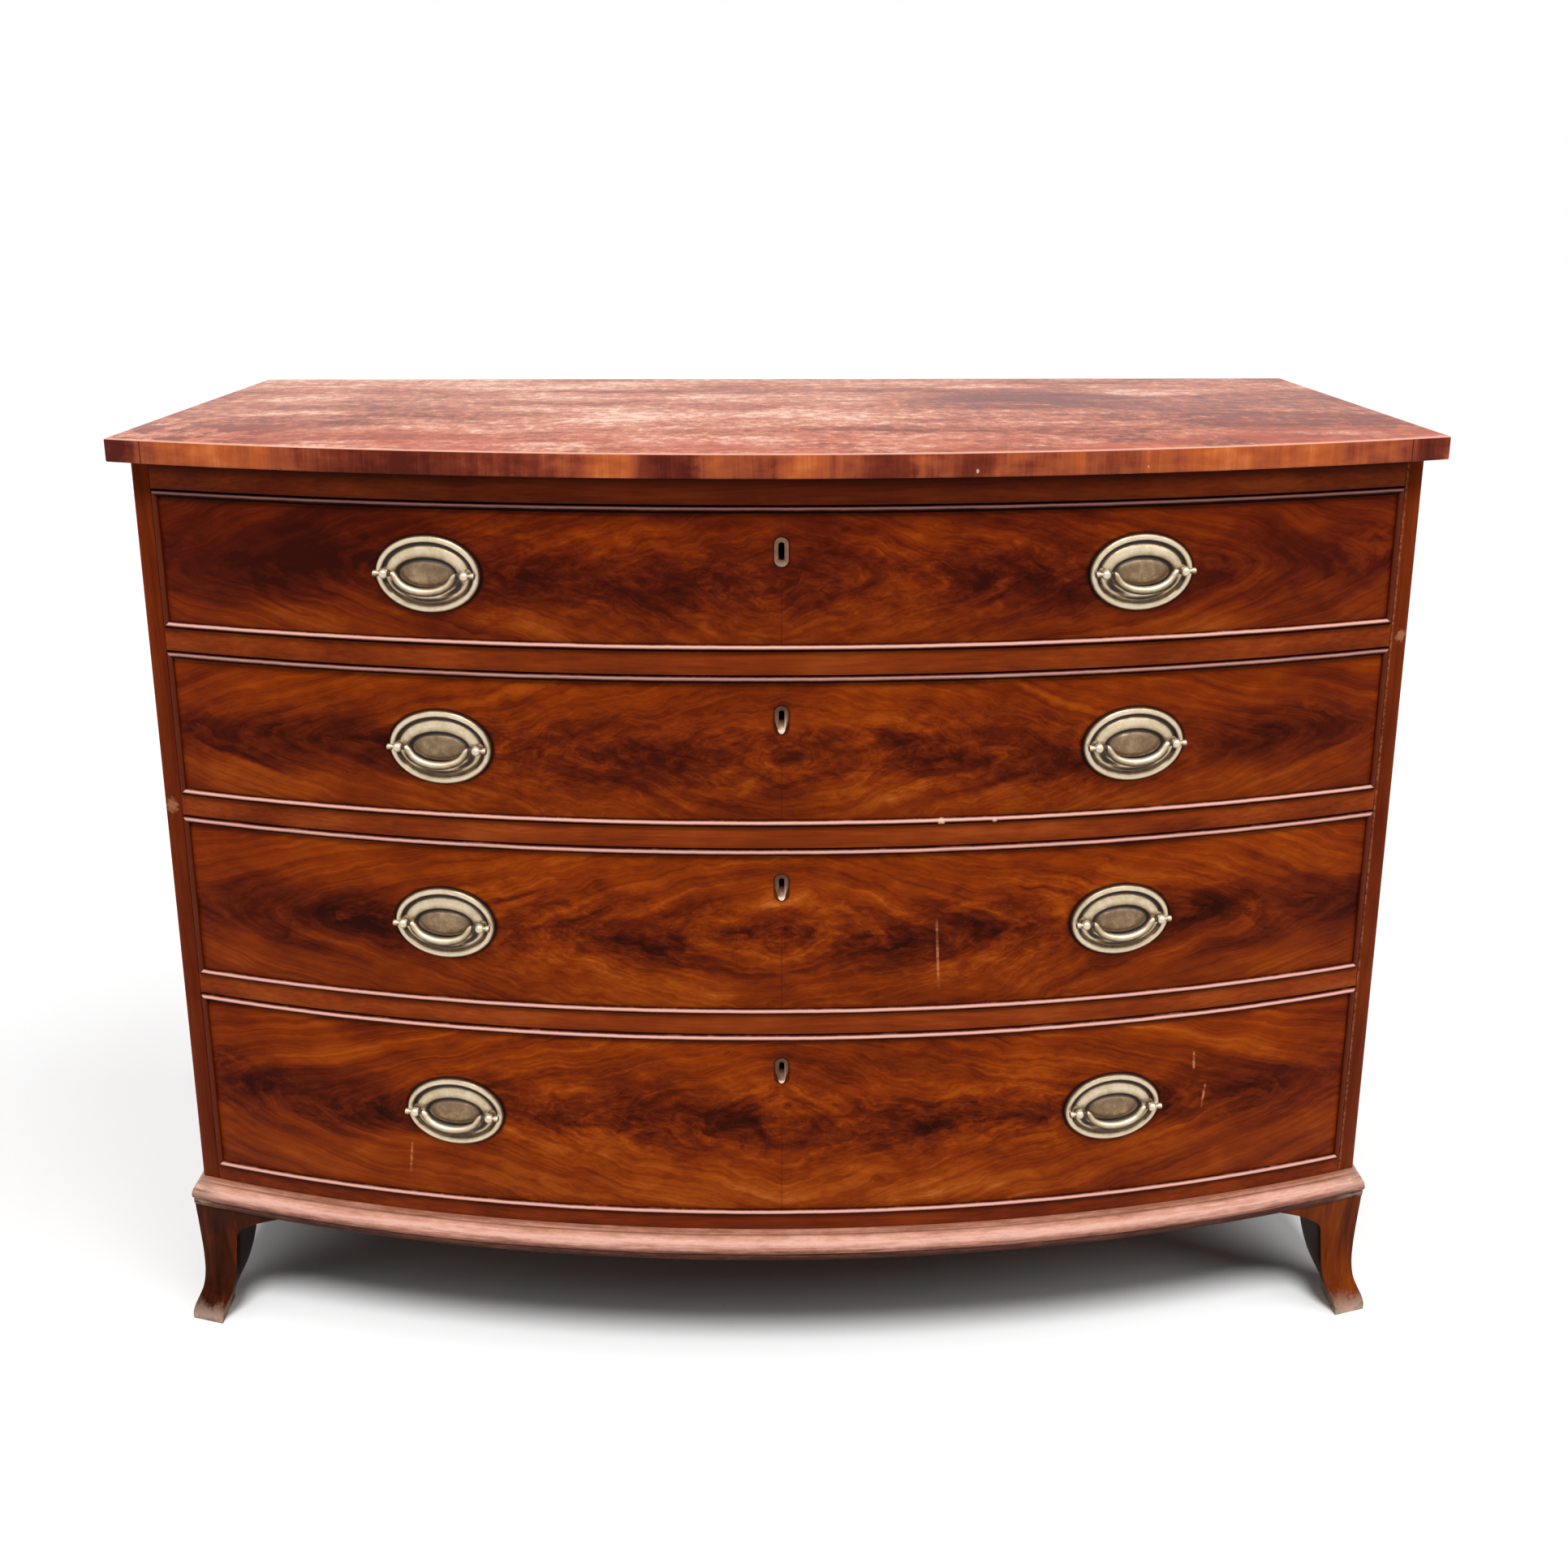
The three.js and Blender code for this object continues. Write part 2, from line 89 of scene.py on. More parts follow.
# Shader maths: a Wire is one node output, and what is worked out with it adds Math nodes
class Wire:
    def __init__(self, finish, socket):
        self.finish = finish
        self.socket = socket

    def maths(self, operation, first, second=None):
        inputs = {0: first} if second is None else {0: first, 1: second}
        return self.finish.node("Math", {"operation": operation}, inputs)

    def __add__(self, other):
        return self.maths("ADD", self, other)

    def __radd__(self, other):
        return self.maths("ADD", other, self)

    def __sub__(self, other):
        return self.maths("SUBTRACT", self, other)

    def __rsub__(self, other):
        return self.maths("SUBTRACT", other, self)

    def __mul__(self, other):
        return self.maths("MULTIPLY", self, other)

    def __rmul__(self, other):
        return self.maths("MULTIPLY", other, self)

    def __truediv__(self, other):
        return self.maths("DIVIDE", self, other)

    def __pow__(self, other):
        return self.maths("POWER", self, other)

    def __abs__(self):
        return self.maths("ABSOLUTE", self)


# Adds nodes to a material or to the world
class Tree:
    def __init__(self, tree):
        self.tree = tree

    def feed(self, socket, value):
        if isinstance(value, Wire):
            self.tree.links.new(value.socket, socket)
        elif hasattr(value, "__len__") and len(value) == 3 and socket.type == "RGBA":
            socket.default_value = (*value, 1)
        else:
            socket.default_value = value

    def node(self, kind, settings=None, inputs=None, output=0):
        made = self.tree.nodes.new("ShaderNode" + kind)
        for key, value in (settings or {}).items():
            if key == "stops":
                elements = made.color_ramp.elements
                while len(elements) < len(value):
                    elements.new(1)
                for element, (place, shade) in zip(elements, value):
                    element.position = place
                    element.color = (*shade, 1)
            else:
                setattr(made, key, value)
        for key, value in (inputs or {}).items():
            self.feed(made.inputs[key], value)
        return Wire(self, made.outputs[output])

    def axes(self, vector):
        return [self.node("SeparateXYZ", {}, {0: vector}, axis) for axis in range(3)]

    def place(self):
        return self.axes(self.node("TexCoord", output="Object"))

    def facing(self):
        return self.axes(self.node("NewGeometry", output="Normal"))

    def noise(self, x, y, z, detail=3.0, roughness=0.5, distortion=0.0):
        vector = self.node("CombineXYZ", {}, {0: x, 1: y, 2: z})
        inputs = {"Vector": vector, "Scale": 1.0, "Detail": detail, "Roughness": roughness}
        inputs["Distortion"] = distortion
        return self.node("TexNoise", {}, inputs)

    def fade(self, value, low, high, fromValue=0.0, toValue=1.0):
        inputs = {0: value, 1: low, 2: high, 3: fromValue, 4: toValue}
        return self.node("MapRange", {"interpolation_type": "SMOOTHSTEP"}, inputs)

    def mix(self, share, first, second):
        settings = {"data_type": "RGBA", "blend_type": "MIX"}
        return self.node("Mix", settings, {0: share, 6: first, 7: second}, 2)

    def level(self, name):
        return self.node("Attribute", {"attribute_name": name}, {}, 2)

    # Each stop is a place and its colour as the eye reads it
    def ramp(self, value, stops):
        linear = [(place, colour(*shade)) for place, *shade in stops]
        return self.node("ValToRGB", {"stops": linear}, {0: value})

    # 1 for the rays that show a thing, 0 for those that only light others
    def seenRays(self):
        kinds = ("Camera", "Glossy", "Transmission")
        camera, glossy, through = [self.node("LightPath", output=f"Is {kind} Ray") for kind in kinds]
        return camera.maths("MAXIMUM", camera, glossy.maths("MAXIMUM", glossy, through))


class Finish(Tree):
    def __init__(self, name):
        self.material = bpy.data.materials.new(name)
        self.material.use_nodes = True
        super().__init__(self.material.node_tree)
        self.tree.nodes.clear()
        self.shader = self.tree.nodes.new("ShaderNodeBsdfPrincipled")
        output = self.tree.nodes.new("ShaderNodeOutputMaterial")
        self.tree.links.new(self.shader.outputs[0], output.inputs[0])

    # The bump is a height, its distance in metres and its strength
    def surface(self, base, rough, specular=0.5, metallic=0.0, bump=None):
        values = {"Base Color": base, "Roughness": rough, "Metallic": metallic}
        values["Specular IOR Level"] = specular
        if bump:
            height, depth, strength = bump
            inputs = {"Height": height, "Distance": depth, "Strength": strength}
            values["Normal"] = self.node("Bump", {}, inputs)
        for key, value in values.items():
            self.feed(self.shader.inputs[key], value)
        return self.material


# Colours are written as the eye reads them, 0 to 255, and turned to linear light
def colour(red, green, blue):
    def linear(share):
        return share / 12.92 if share <= 0.04045 else ((share + 0.055) / 1.055) ** 2.4
    return tuple(linear(value / 255) for value in (red, green, blue))


# Works on plain numbers and on wires, as the next one does
def distance(first, second):
    return (first * first + second * second) ** 0.5


# The square of a place's distance from an oval's middle, as a share of its half sizes
def ovalSquare(across, up, wide, high):
    across, up = across * (1 / wide), up * (1 / high)
    return across * across + up * up


# Modelling helpers
def deselect():
    bpy.ops.object.select_all(action="DESELECT")


def activate(piece):
    deselect()
    piece.select_set(True)
    bpy.context.view_layer.objects.active = piece


def settle(piece):
    activate(piece)
    bpy.ops.object.transform_apply(location=True, rotation=True, scale=True)


def modify(piece, kind, **settings):
    activate(piece)
    modifier = piece.modifiers.new(kind.title(), kind)
    for key, value in settings.items():
        setattr(modifier, key, value)
    bpy.ops.object.modifier_apply(modifier=modifier.name)


def carve(piece, tool, operation="DIFFERENCE"):
    modify(piece, "BOOLEAN", object=tool, operation=operation, solver="EXACT")
    bpy.data.objects.remove(tool)


def soften(piece, width, segments=2, degrees=40):
    settings = {"width": width, "segments": segments, "limit_method": "ANGLE"}
    modify(piece, "BEVEL", angle_limit=math.radians(degrees), use_clamp_overlap=True, **settings)


def smooth(piece, degrees=35):
    activate(piece)
    bpy.ops.object.shade_smooth_by_angle(angle=math.radians(degrees))


def newBox(name, low, high):
    deselect()
    middle = [(a + b) / 2 for a, b in zip(low, high)]
    bpy.ops.mesh.primitive_cube_add(size=1, location=middle)
    piece = bpy.context.object
    piece.name = name
    piece.scale = [b - a for a, b in zip(low, high)]
    settle(piece)
    return piece


def newCylinder(name, sides, radius, depth, place, turn=(0, 0, 0)):
    deselect()
    settings = {"vertices": sides, "radius": radius, "depth": depth}
    bpy.ops.mesh.primitive_cylinder_add(location=place, rotation=turn, **settings)
    piece = bpy.context.object
    piece.name = name
    settle(piece)
    return piece


# A wide drum about the bow's upright line, which cuts a bowed face
drum = {"sides": 900, "overrun": 0.01}


def newDrum(offset, low, high):
    depth = high - low + 2 * drum["overrun"]
    place = (0, bowCentreY, (low + high) / 2)
    return newCylinder("drum", drum["sides"], bowRadius + offset, depth, place)


# A board whose front follows the bow, and whose back is straight or follows it too
def bowedBoard(name, left, right, foot, top, outer, back=None, inner=None):
    farthest = max(bowY(left, inner or 0), bowY(right, inner or 0)) + drum["overrun"]
    rear = back if back is not None else farthest
    piece = newBox(name, (left, bowY(0, outer) - drum["overrun"], foot), (right, rear, top))
    carve(piece, newDrum(outer, foot, top), "INTERSECT")
    if inner is not None:
        carve(piece, newDrum(inner, foot, top))
    return piece


def bisect(piece, place, normal):
    activate(piece)
    bpy.ops.object.mode_set(mode="EDIT")
    bpy.ops.mesh.select_all(action="SELECT")
    bpy.ops.mesh.bisect(plane_co=place, plane_no=normal, use_fill=True, clear_outer=True)
    bpy.ops.object.mode_set(mode="OBJECT")


def selectEdges(piece, wanted):
    activate(piece)
    bpy.ops.object.mode_set(mode="EDIT")
    bpy.ops.mesh.select_all(action="DESELECT")
    bpy.ops.mesh.select_mode(type="EDGE")
    mesh = bmesh.from_edit_mesh(piece.data)
    for edge in mesh.edges:
        edge.select = wanted(edge)
    bmesh.update_edit_mesh(piece.data)


def joinPieces(pieces, name):
    activate(pieces[0])
    for piece in pieces:
        piece.select_set(True)
    bpy.ops.object.join()
    joined = bpy.context.object
    joined.name = name
    return joined


# Stores a level at every point, which a finish reads as an attribute
def setLevel(piece, name, levelAt):
    levels = piece.data.attributes.new(name, "FLOAT", "POINT")
    for vert in piece.data.vertices:
        levels.data[vert.index].value = levelAt(vert)


def dress(piece, finish, body, slot, *nodes):
    piece.data.materials.clear()
    piece.data.materials.append(finish)
    for polygon in piece.data.polygons:
        polygon.material_index = 0
    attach(piece, body)
    if nodes:
        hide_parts(*nodes)


def complete(piece, arris, finish, body, slot, node, segments=2):
    soften(piece, arris, segments)
    smooth(piece)
    dress(piece, finish, body, slot, node)


# How far a point is outside the case front's arc, for veneers that lie on it
def outsideBow(x, y):
    return distance(x, y - bowCentreY) - bowRadius


# Flame veneer of the drawer fronts: plumes fan out from a spine, mirrored about the middle
flame = {
    "figure": [(0.0, 38, 9, 2), (0.22, 69, 19, 4), (0.42, 99, 33, 7), (0.6, 130, 49, 6),
               (0.8, 160, 72, 14), (1.0, 193, 110, 48)],
    "joint": colour(69, 19, 4),
    "red": colour(96, 20, 12),
    "wander": (0.12, 0.034),  # how far the whole figure strays, across and up
    "billow": (0.04, 0.024),
    "clouds": 0.62,
    "lively": (0.92, 1.05),  # how strong the curls and the mottle are near the spine
    "streaks": (0.72, 0.46, 0.18),  # from broad to hair-fine
    "ends": (0.06, 0.25),  # how much darker and redder the drawer's ends are
    "fan": (2.1, 0.008, 15.0),  # slope, softness in metres and curve of the grain's bend towards the spine
    "veneer": 0.0016,
    "specular": 0.03,
    "dirtAndShade": colour(30, 9, 5),
    "plateDirtAndShade": 0.075,  # how far the dirt and painted contact shadow reach round a plate, as a share of the plate's half size
    "keyDirt": 0.0018,
    "scar": colour(196, 122, 80),
}
# Each pool is a darker or (with a negative depth) a lighter place: x, z, half width, half height, depth
flameDrawers = {
    1: {"spine": 0.712, "half": 0.034, "seed": 3.1, "tone": 0.52, "red": 0.45,
        "pools": [(-0.43, 0.718, 0.085, 0.04, 0.26), (-0.335, 0.736, 0.075, 0.034, 0.24),
                  (-0.15, 0.715, 0.07, 0.028, 0.14), (-0.095, 0.7, 0.03, 0.028, 0.14),
                  (0.02, 0.708, 0.03, 0.028, 0.1), (0.145, 0.722, 0.036, 0.026, 0.14),
                  (0.215, 0.706, 0.042, 0.04, 0.14), (0.385, 0.716, 0.07, 0.03, 0.14),
                  # The wide pool along drawer 1's top edge is painted shadow of the top's overhang
                  (0.0, 0.768, 0.6, 0.018, 0.12), (0.48, 0.705, 0.035, 0.05, -0.12),
                  (-0.39, 0.668, 0.05, 0.014, -0.16), (-0.14, 0.676, 0.08, 0.016, -0.12),
                  (0.06, 0.672, 0.08, 0.018, -0.12), (0.3, 0.67, 0.09, 0.012, -0.12)]},
    2: {"spine": 0.568, "half": 0.03, "seed": 7.7, "tone": 0.56, "red": 0.2,
        "pools": [(-0.41, 0.568, 0.09, 0.026, 0.22), (-0.31, 0.56, 0.04, 0.022, 0.16),
                  (-0.115, 0.566, 0.06, 0.028, 0.16), (0.01, 0.566, 0.034, 0.03, 0.12),
                  (0.165, 0.565, 0.06, 0.022, 0.08), (0.4, 0.571, 0.085, 0.028, 0.18),
                  (-0.42, 0.53, 0.06, 0.016, -0.12), (0.12, 0.53, 0.1, 0.018, -0.1)]},
    3: {"spine": 0.414, "half": 0.032, "seed": 12.4, "tone": 0.57, "red": 0.1,
        "pools": [(-0.4, 0.414, 0.1, 0.032, 0.18), (0.4, 0.414, 0.1, 0.032, 0.16),
                  (-0.09, 0.416, 0.06, 0.03, 0.1), (0.11, 0.412, 0.06, 0.03, 0.1)]},
    4: {"spine": 0.242, "half": 0.036, "seed": 19.9, "tone": 0.57, "red": 0.05,
        "pools": [(-0.39, 0.242, 0.1, 0.032, 0.18), (0.39, 0.24, 0.1, 0.034, 0.14),
                  (-0.08, 0.245, 0.06, 0.034, 0.1), (0.1, 0.24, 0.07, 0.03, 0.1),
                  (0.0, 0.176, 0.26, 0.014, -0.12)]},
}
# Faint upright scratches: drawer, x, z, half length and lean
scratches = [
    (3, 0.129, 0.396, 0.034, 0.05),
    (4, 0.358, 0.277, 0.01, 0.05),
    (4, 0.369, 0.24, 0.012, -0.1),
    (4, -0.322, 0.194, 0.016, -0.1),
]


def flameFinish(number):
    settings = flameDrawers[number]
    finish = Finish(f"flameVeneer{number}")
    x, y, z = finish.place()
    seed = settings["seed"]
    up = z - settings["spine"]

    # Slow wander of the whole figure, and the billows in it
    wander = finish.noise(x * 5, up * 9, seed, detail=2)
    wanderUp = finish.noise(x * 6, up * 5, seed + 5, detail=2)
    billow = finish.noise(x * 22, up * 30, seed + 30, detail=3, roughness=0.55)
    billowUp = finish.noise(x * 22, up * 30, seed + 40, detail=3, roughness=0.55)
    middle = finish.fade(abs(x), 0.15, 0.4, 1.0, 0.5)
    u = abs(x) + (wander - 0.5) * flame["wander"][0] + (billow - 0.5) * middle * flame["billow"][0]
    v = up + (wanderUp - 0.5) * flame["wander"][1] + (billowUp - 0.5) * middle * flame["billow"][1]
    slope, softness, curve = flame["fan"]
    fan = u + distance(v, softness) * slope + v * v * curve

    # Streaks along the grain, from broad to hair-fine, and clouds across it
    broad = finish.noise(fan * 19, v * 9, seed, detail=5, roughness=0.62)
    streak = finish.noise(fan * 70, v * 22, seed + 2, detail=4, roughness=0.62)
    fibre = finish.noise(fan * 280, v * 50, seed + 4, detail=2)
    cloud = finish.noise(x * 12, up * 24, seed + 50, detail=4, roughness=0.6)
    mottle = finish.noise(x * 58, up * 120, seed + 70, detail=5, roughness=0.68, distortion=0.6)

    # Dark plumes along the spine, broken up and ragged, with curls in them
    lobes = finish.noise(fan * 24, v * 14, seed + 8, detail=5, roughness=0.62)
    curls = finish.noise(u * 30, v * 62, seed + 11, detail=5, roughness=0.62, distortion=0.5)
    gaps = finish.fade(finish.noise(x * 9, up * 8, seed + 60, detail=2), 0.38, 0.6, 0.3, 1.0)
    reach = abs(v) - (lobes - 0.5) * 0.1
    plume = finish.fade(reach, -0.004, settings["half"], 1.0, 0.0) * gaps
    inside = finish.fade(curls, 0.42, 0.56)

    nearSpine = finish.fade(abs(v), 0.0, 0.055, 1.0, 0.3)
    tone = settings["tone"]
    for noise, share in zip((broad, streak, fibre), flame["streaks"]):
        tone = (noise - 0.5) * share + tone
    tone = tone + (cloud - 0.5) * flame["clouds"] - plume * (inside * 0.38 + 0.06)
    lively = nearSpine * finish.fade(abs(x), 0.2, 0.36, 1.0, 0.45)
    curly, mottled = flame["lively"]
    tone = tone + (curls - 0.5) * curly * lively + (mottle - 0.5) * mottled * lively
    ends = finish.fade(abs(x), 0.38, 0.5)
    darker, redness = flame["ends"]
    tone = tone - ends * darker
    for placeX, placeZ, wide, high, depth in settings["pools"]:
        across = x + (wander - 0.5) * 0.08 + (billow - 0.5) * 0.06 - placeX
        square = ovalSquare(across, z + (lobes - 0.5) * 0.05 - placeZ, wide, high)
        tone = tone - finish.fade(square, 0.1, 1.7, 1.0, 0.0) * depth

    face = finish.ramp(tone, flame["figure"])
    redder = finish.mix(settings["red"] + ends * redness, face, finish.mix(0.35, face, flame["red"]))
    for drawer, scarX, scarZ, half, lean in scratches:
        if drawer == number:
            across = abs(x - scarX + (z - scarZ) * lean)
            along = abs(z - scarZ) + (mottle - 0.5) * half * 2
            length = finish.fade(along, half * 0.5, half, 0.8, 0.0)
            broken = length * finish.fade(streak, 0.42, 0.54, 0.25, 1.0)
            line = finish.fade(across, 0.0004, 0.0015, 1.0, 0.0) * broken
            redder = finish.mix(line, redder, flame["scar"])
    joint = finish.fade(abs(x), 0.0003, 0.0011, 0.35, 0.0) * finish.fade(up, -0.01, 0.02, 1.0, 0.3)
    redder = finish.mix(joint, redder, flame["joint"])

    # Dirt gathers round the keyhole; round the plates the dark ring is dirt and painted contact shadow
    drawer = drawers[number]
    height = (drawer["floor"] + drawer["top"]) / 2 + drawer["lift"]
    for hand in hands:
        # Painted contact shadow with dirt round each plate
        away = ovalSquare(x - drawer[hand], z - height, *plate["half"]) ** 0.5 + (mottle - 0.5) * 0.03
        around = finish.fade(away, 1.0, 1 + flame["plateDirtAndShade"], 0.85, 0.0)
        redder = finish.mix(around, redder, flame["dirtAndShade"])
    straight = abs(z - drawer["key"]) - lock["reach"]
    beyond = finish.node("Math", {"operation": "MAXIMUM"}, {0: straight, 1: 0.0})
    away = distance(x, beyond) - lock["half"]
    redder = finish.mix(finish.fade(away, 0.0, flame["keyDirt"], 0.75, 0.0), redder, flame["dirtAndShade"])
    ground = groundWood(finish, x, y, z)
    onFace = finish.fade(outsideBow(x, y), -flame["veneer"] - 0.0003, -flame["veneer"])
    pore = finish.noise(fan * 900, v * 110, seed + 20, detail=1)
    polish = 0.24 + (broad - 0.5) * 0.1 + (1 - onFace) * 0.4
    relief = (fibre * 0.5 + pore * 0.5) * onFace
    shown = finish.mix(onFace, ground, redder)
    return finish.surface(shown, polish, flame["specular"], bump=(relief, 0.00008, 0.35))


# Plain secondary wood, its grain along x
def groundWood(finish, x, y, z):
    long = finish.noise(x * 3, y * 60, z * 60, detail=4)
    fine = finish.noise(x * 14, y * 420, z * 420, detail=2)
    tone = long * 0.7 + fine * 0.3
    return finish.ramp(tone, [(0.25, 92, 56, 32), (0.5, 134, 90, 54), (0.75, 160, 114, 74)])


# Plain red-brown veneer of rails, stiles and sides; the grain runs along x or up
railLook = {
    "figure": [(0.28, 76, 22, 6), (0.43, 107, 38, 9), (0.56, 133, 53, 13), (0.74, 162, 77, 28)],
    "shares": (0.38, 0.26, 0.36),  # of the broad figure, the streaks and the clouds
    "underside": colour(44, 31, 24),
    # Painted shadow under the top's overhang: its colour, then how far below the top it starts and where it
    # is darkest
    "grime": colour(30, 9, 6),
    "overhangShadeReach": (0.014, 0.002),  # below the top, where the painted shadow starts and where it is darkest
}


def railFinish(name, seed, upright, lift):
    finish = Finish(name)
    x, y, z = finish.place()
    along, cross = (z, x) if upright else (x, z)
    wave = finish.noise(along * 4, cross * 9, y * 9 + seed, detail=2)
    bend = cross + (wave - 0.5) * 0.03
    broad = finish.noise(along * 5, bend * 70, y * 70 + seed, detail=4)
    streak = finish.noise(along * 20, bend * 380, y * 380, detail=3)
    cloud = finish.noise(x * 11, y * 11, z * 11 + seed, detail=4, roughness=0.6)
    broadShare, streakShare, cloudShare = railLook["shares"]
    tone = broad * broadShare + streak * streakShare + cloud * cloudShare + lift
    return finish, finish.ramp(tone, railLook["figure"]), (x, y, z), streak


# A rail seen between drawers: dark on its underside, and darkened below the top's overhang by painted
# shadow
def polishedRail(name, seed, lift):
    finish, face, (x, y, z), streak = railFinish(name, seed, False, lift)
    depth = finish.fade(outsideBow(x, y), -0.006, -0.0055)
    edge = finish.fade(outsideBow(x, y), -0.0005, 0.0)
    shown = finish.mix(depth, groundWood(finish, x, y, z), face)
    underside = finish.fade(finish.facing()[2], -0.9, -0.5, 0.9, 0.0)
    shown = finish.mix(underside, shown, railLook["underside"])
    # Painted shadow of the top's overhang on the rail just below it
    low, high = [levels["caseTop"] - reach for reach in railLook["overhangShadeReach"]]
    shown = finish.mix(finish.fade(z, low, high, 0.0, 0.8), shown, railLook["grime"])
    rough = 0.3 + (streak - 0.5) * 0.2 + (1 - depth) * 0.3
    return finish.surface(shown, rough, specular=0.04, bump=(streak * edge, 0.0001, 0.4))


# Sides: darker on their front edges, which show as thin stiles, with a painted highlight along the outer
# arris and a pale broken line near the inner edge that is wear and painted highlight
stiles = {
    "chips": ((-0.5185, 0.4985, 0.0075), (0.519, 0.644, 0.006)),  # x, z and size
    "chip": colour(172, 118, 84),
    "rubbedX": 0.5108,
    "rubbed": colour(160, 104, 70),
    "dark": colour(66, 18, 10),
    "arris": colour(128, 46, 18),
}


def sideFinish():
    finish, face, (x, y, z), streak = railFinish("caseSides", 31.0, True, 0.02)
    half = plan["halfCase"]
    outside = finish.fade(abs(x), half - 0.012, half - 0.0115)
    stile = finish.fade(outsideBow(x, y), -0.0012, -0.0008)
    veneered = finish.mix(stile * 0.75, face, finish.mix(0.6, face, stiles["dark"]))
    # Painted highlight along the stile's outer arris
    arris = finish.fade(abs(x), half - 0.0035, half - 0.001) * stile
    veneered = finish.mix(arris * 0.4, veneered, stiles["arris"])
    crumble = finish.noise(x * 300, y * 300, z * 300, detail=4, roughness=0.7)
    # Pale broken line near the inner edge: wear and painted highlight
    line = finish.fade(abs(x - stiles["rubbedX"]), 0.0004, 0.0016, 1.0, 0.0)
    rubbed = line * finish.fade(crumble, 0.4, 0.6) * stile
    veneered = finish.mix(rubbed * 0.6, veneered, stiles["rubbed"])
    for chipX, chipZ, size in stiles["chips"]:
        far = distance(x - chipX, z - chipZ) + (crumble - 0.5) * 0.016
        chip = finish.fade(far, size * 0.4, size, 0.65, 0.0) * stile
        veneered = finish.mix(chip, veneered, stiles["chip"])
    shown = finish.mix(finish.fade(outside + stile, 0.1, 0.9), groundWood(finish, z, y, x), veneered)
    rough = 0.34 + (streak - 0.5) * 0.2
    return finish.surface(shown, rough, specular=0.02, bump=(streak, 0.0001, 0.35))


# Top: faded veneer under a dusty bloom, its pale tone partly painted sheen, and a cross-banded edge; a
# highlight is painted along the rounded front arris
topLook = {
    # The flat's pale tone is partly painted sheen
    "figure": [(0.1, 110, 57, 49), (0.3, 152, 85, 69), (0.48, 190, 116, 92), (0.66, 214, 147, 121),
               (0.88, 242, 202, 182)],
    "blush": colour(186, 88, 62),
    "smear": colour(108, 66, 66),
    "spots": colour(122, 56, 46),
    "strip": colour(240, 182, 158),
    # Painted highlight on the rounded front arris
    "arris": colour(232, 168, 146),
    "edgeFigure": [(0.1, 84, 27, 16), (0.34, 120, 48, 29), (0.52, 154, 74, 45), (0.72, 184, 90, 44),
                   (0.94, 206, 116, 64)],
    "joint": colour(46, 16, 10),
    "nick": colour(222, 186, 156),
    "joints": (-0.508, 0.505),
    "nicks": ((0.148, 0.798, 0.0016), (0.281, 0.7985, 0.001)),  # x, z and size
    "frontStrip": 0.0085,
    # Lighter or (below zero) darker places of the flat: x, y, half width, half depth and shift
    "pools": ((0.235, 0.08, 0.13, 0.075, -0.24), (0.08, 0.17, 0.13, 0.03, -0.14),
              (-0.42, -0.09, 0.07, 0.055, -0.14), (-0.3, -0.03, 0.11, 0.05, -0.1),
              (0.385, 0.17, 0.08, 0.06, 0.16), (-0.13, -0.06, 0.2, 0.09, 0.12),
              (-0.3, 0.2, 0.16, 0.05, 0.08), (0.43, -0.08, 0.09, 0.07, -0.12),
              (0.06, -0.02, 0.08, 0.05, 0.1)),
    # The same along the edge: x, half width, shift
    "stretches": ((-0.53, 0.016, -0.34), (-0.44, 0.05, 0.26), (-0.29, 0.08, -0.34), (-0.19, 0.03, -0.1),
                  (-0.128, 0.02, 0.26), (-0.085, 0.026, -0.34), (-0.04, 0.018, 0.1), (0.02, 0.022, 0.24),
                  (0.085, 0.03, -0.26), (0.15, 0.02, -0.22), (0.215, 0.024, 0.1), (0.375, 0.08, 0.24),
                  (0.525, 0.02, -0.2)),
}


def topFlat(finish, x, y):
    wave = finish.noise(x * 2.5, y * 5, 2.0, detail=2)
    bend = y + (wave - 0.5) * 0.07
    broad = finish.noise(x * 5, bend * 16, 5.0, detail=5, roughness=0.6)
    streak = finish.noise(x * 12, bend * 70, 9.0, detail=4, roughness=0.6)
    cloud = finish.noise(x * 10, y * 13, 4.0, detail=5, roughness=0.62, distortion=0.4)
    bloom = finish.noise(x * 85, y * 60, 14.0, detail=6, roughness=0.78)
    tone = 0.5 + (broad - 0.5) * 0.95 + (streak - 0.5) * 0.4
    tone = tone + (cloud - 0.5) * 1.05 + (bloom - 0.5) * 2.0
    tone = tone - finish.fade(x, 0.08, 0.34) * 0.15 + finish.fade(y, 0.1, 0.27) * 0.1
    for placeX, placeY, wide, deep, shift in topLook["pools"]:
        back = y + (broad - 0.5) * 0.1 - placeY
        square = ovalSquare(x + (cloud - 0.5) * 0.16 - placeX, back, wide, deep)
        tone = tone + finish.fade(square, 0.1, 1.6, shift, 0.0)
    flat = finish.ramp(tone, topLook["figure"])
    forward = finish.fade(outsideBow(x, y), -0.17, 0.0)
    blush = finish.noise(x * 9, y * 16, 21.0, detail=4, roughness=0.6)
    flat = finish.mix(finish.fade(blush, 0.4, 0.58) * forward * 0.6, flat, topLook["blush"])
    smear = finish.noise(x * 5, bend * 34, 33.0, detail=5, roughness=0.65)
    dark = finish.fade(smear, 0.52, 0.66) * finish.fade(x, -0.05, 0.2) * finish.fade(y, -0.04, 0.06)
    flat = finish.mix(dark * 0.5, flat, topLook["smear"])
    spots = finish.noise(x * 34, y * 20, 41.0, detail=4, roughness=0.6)
    corner = finish.fade(x, -0.46, -0.34, 1.0, 0.0) * finish.fade(y, -0.14, 0.0, 1.0, 0.0)
    flat = finish.mix(finish.fade(spots, 0.49, 0.55) * corner * 0.8, flat, topLook["spots"])
    return flat, streak, bloom


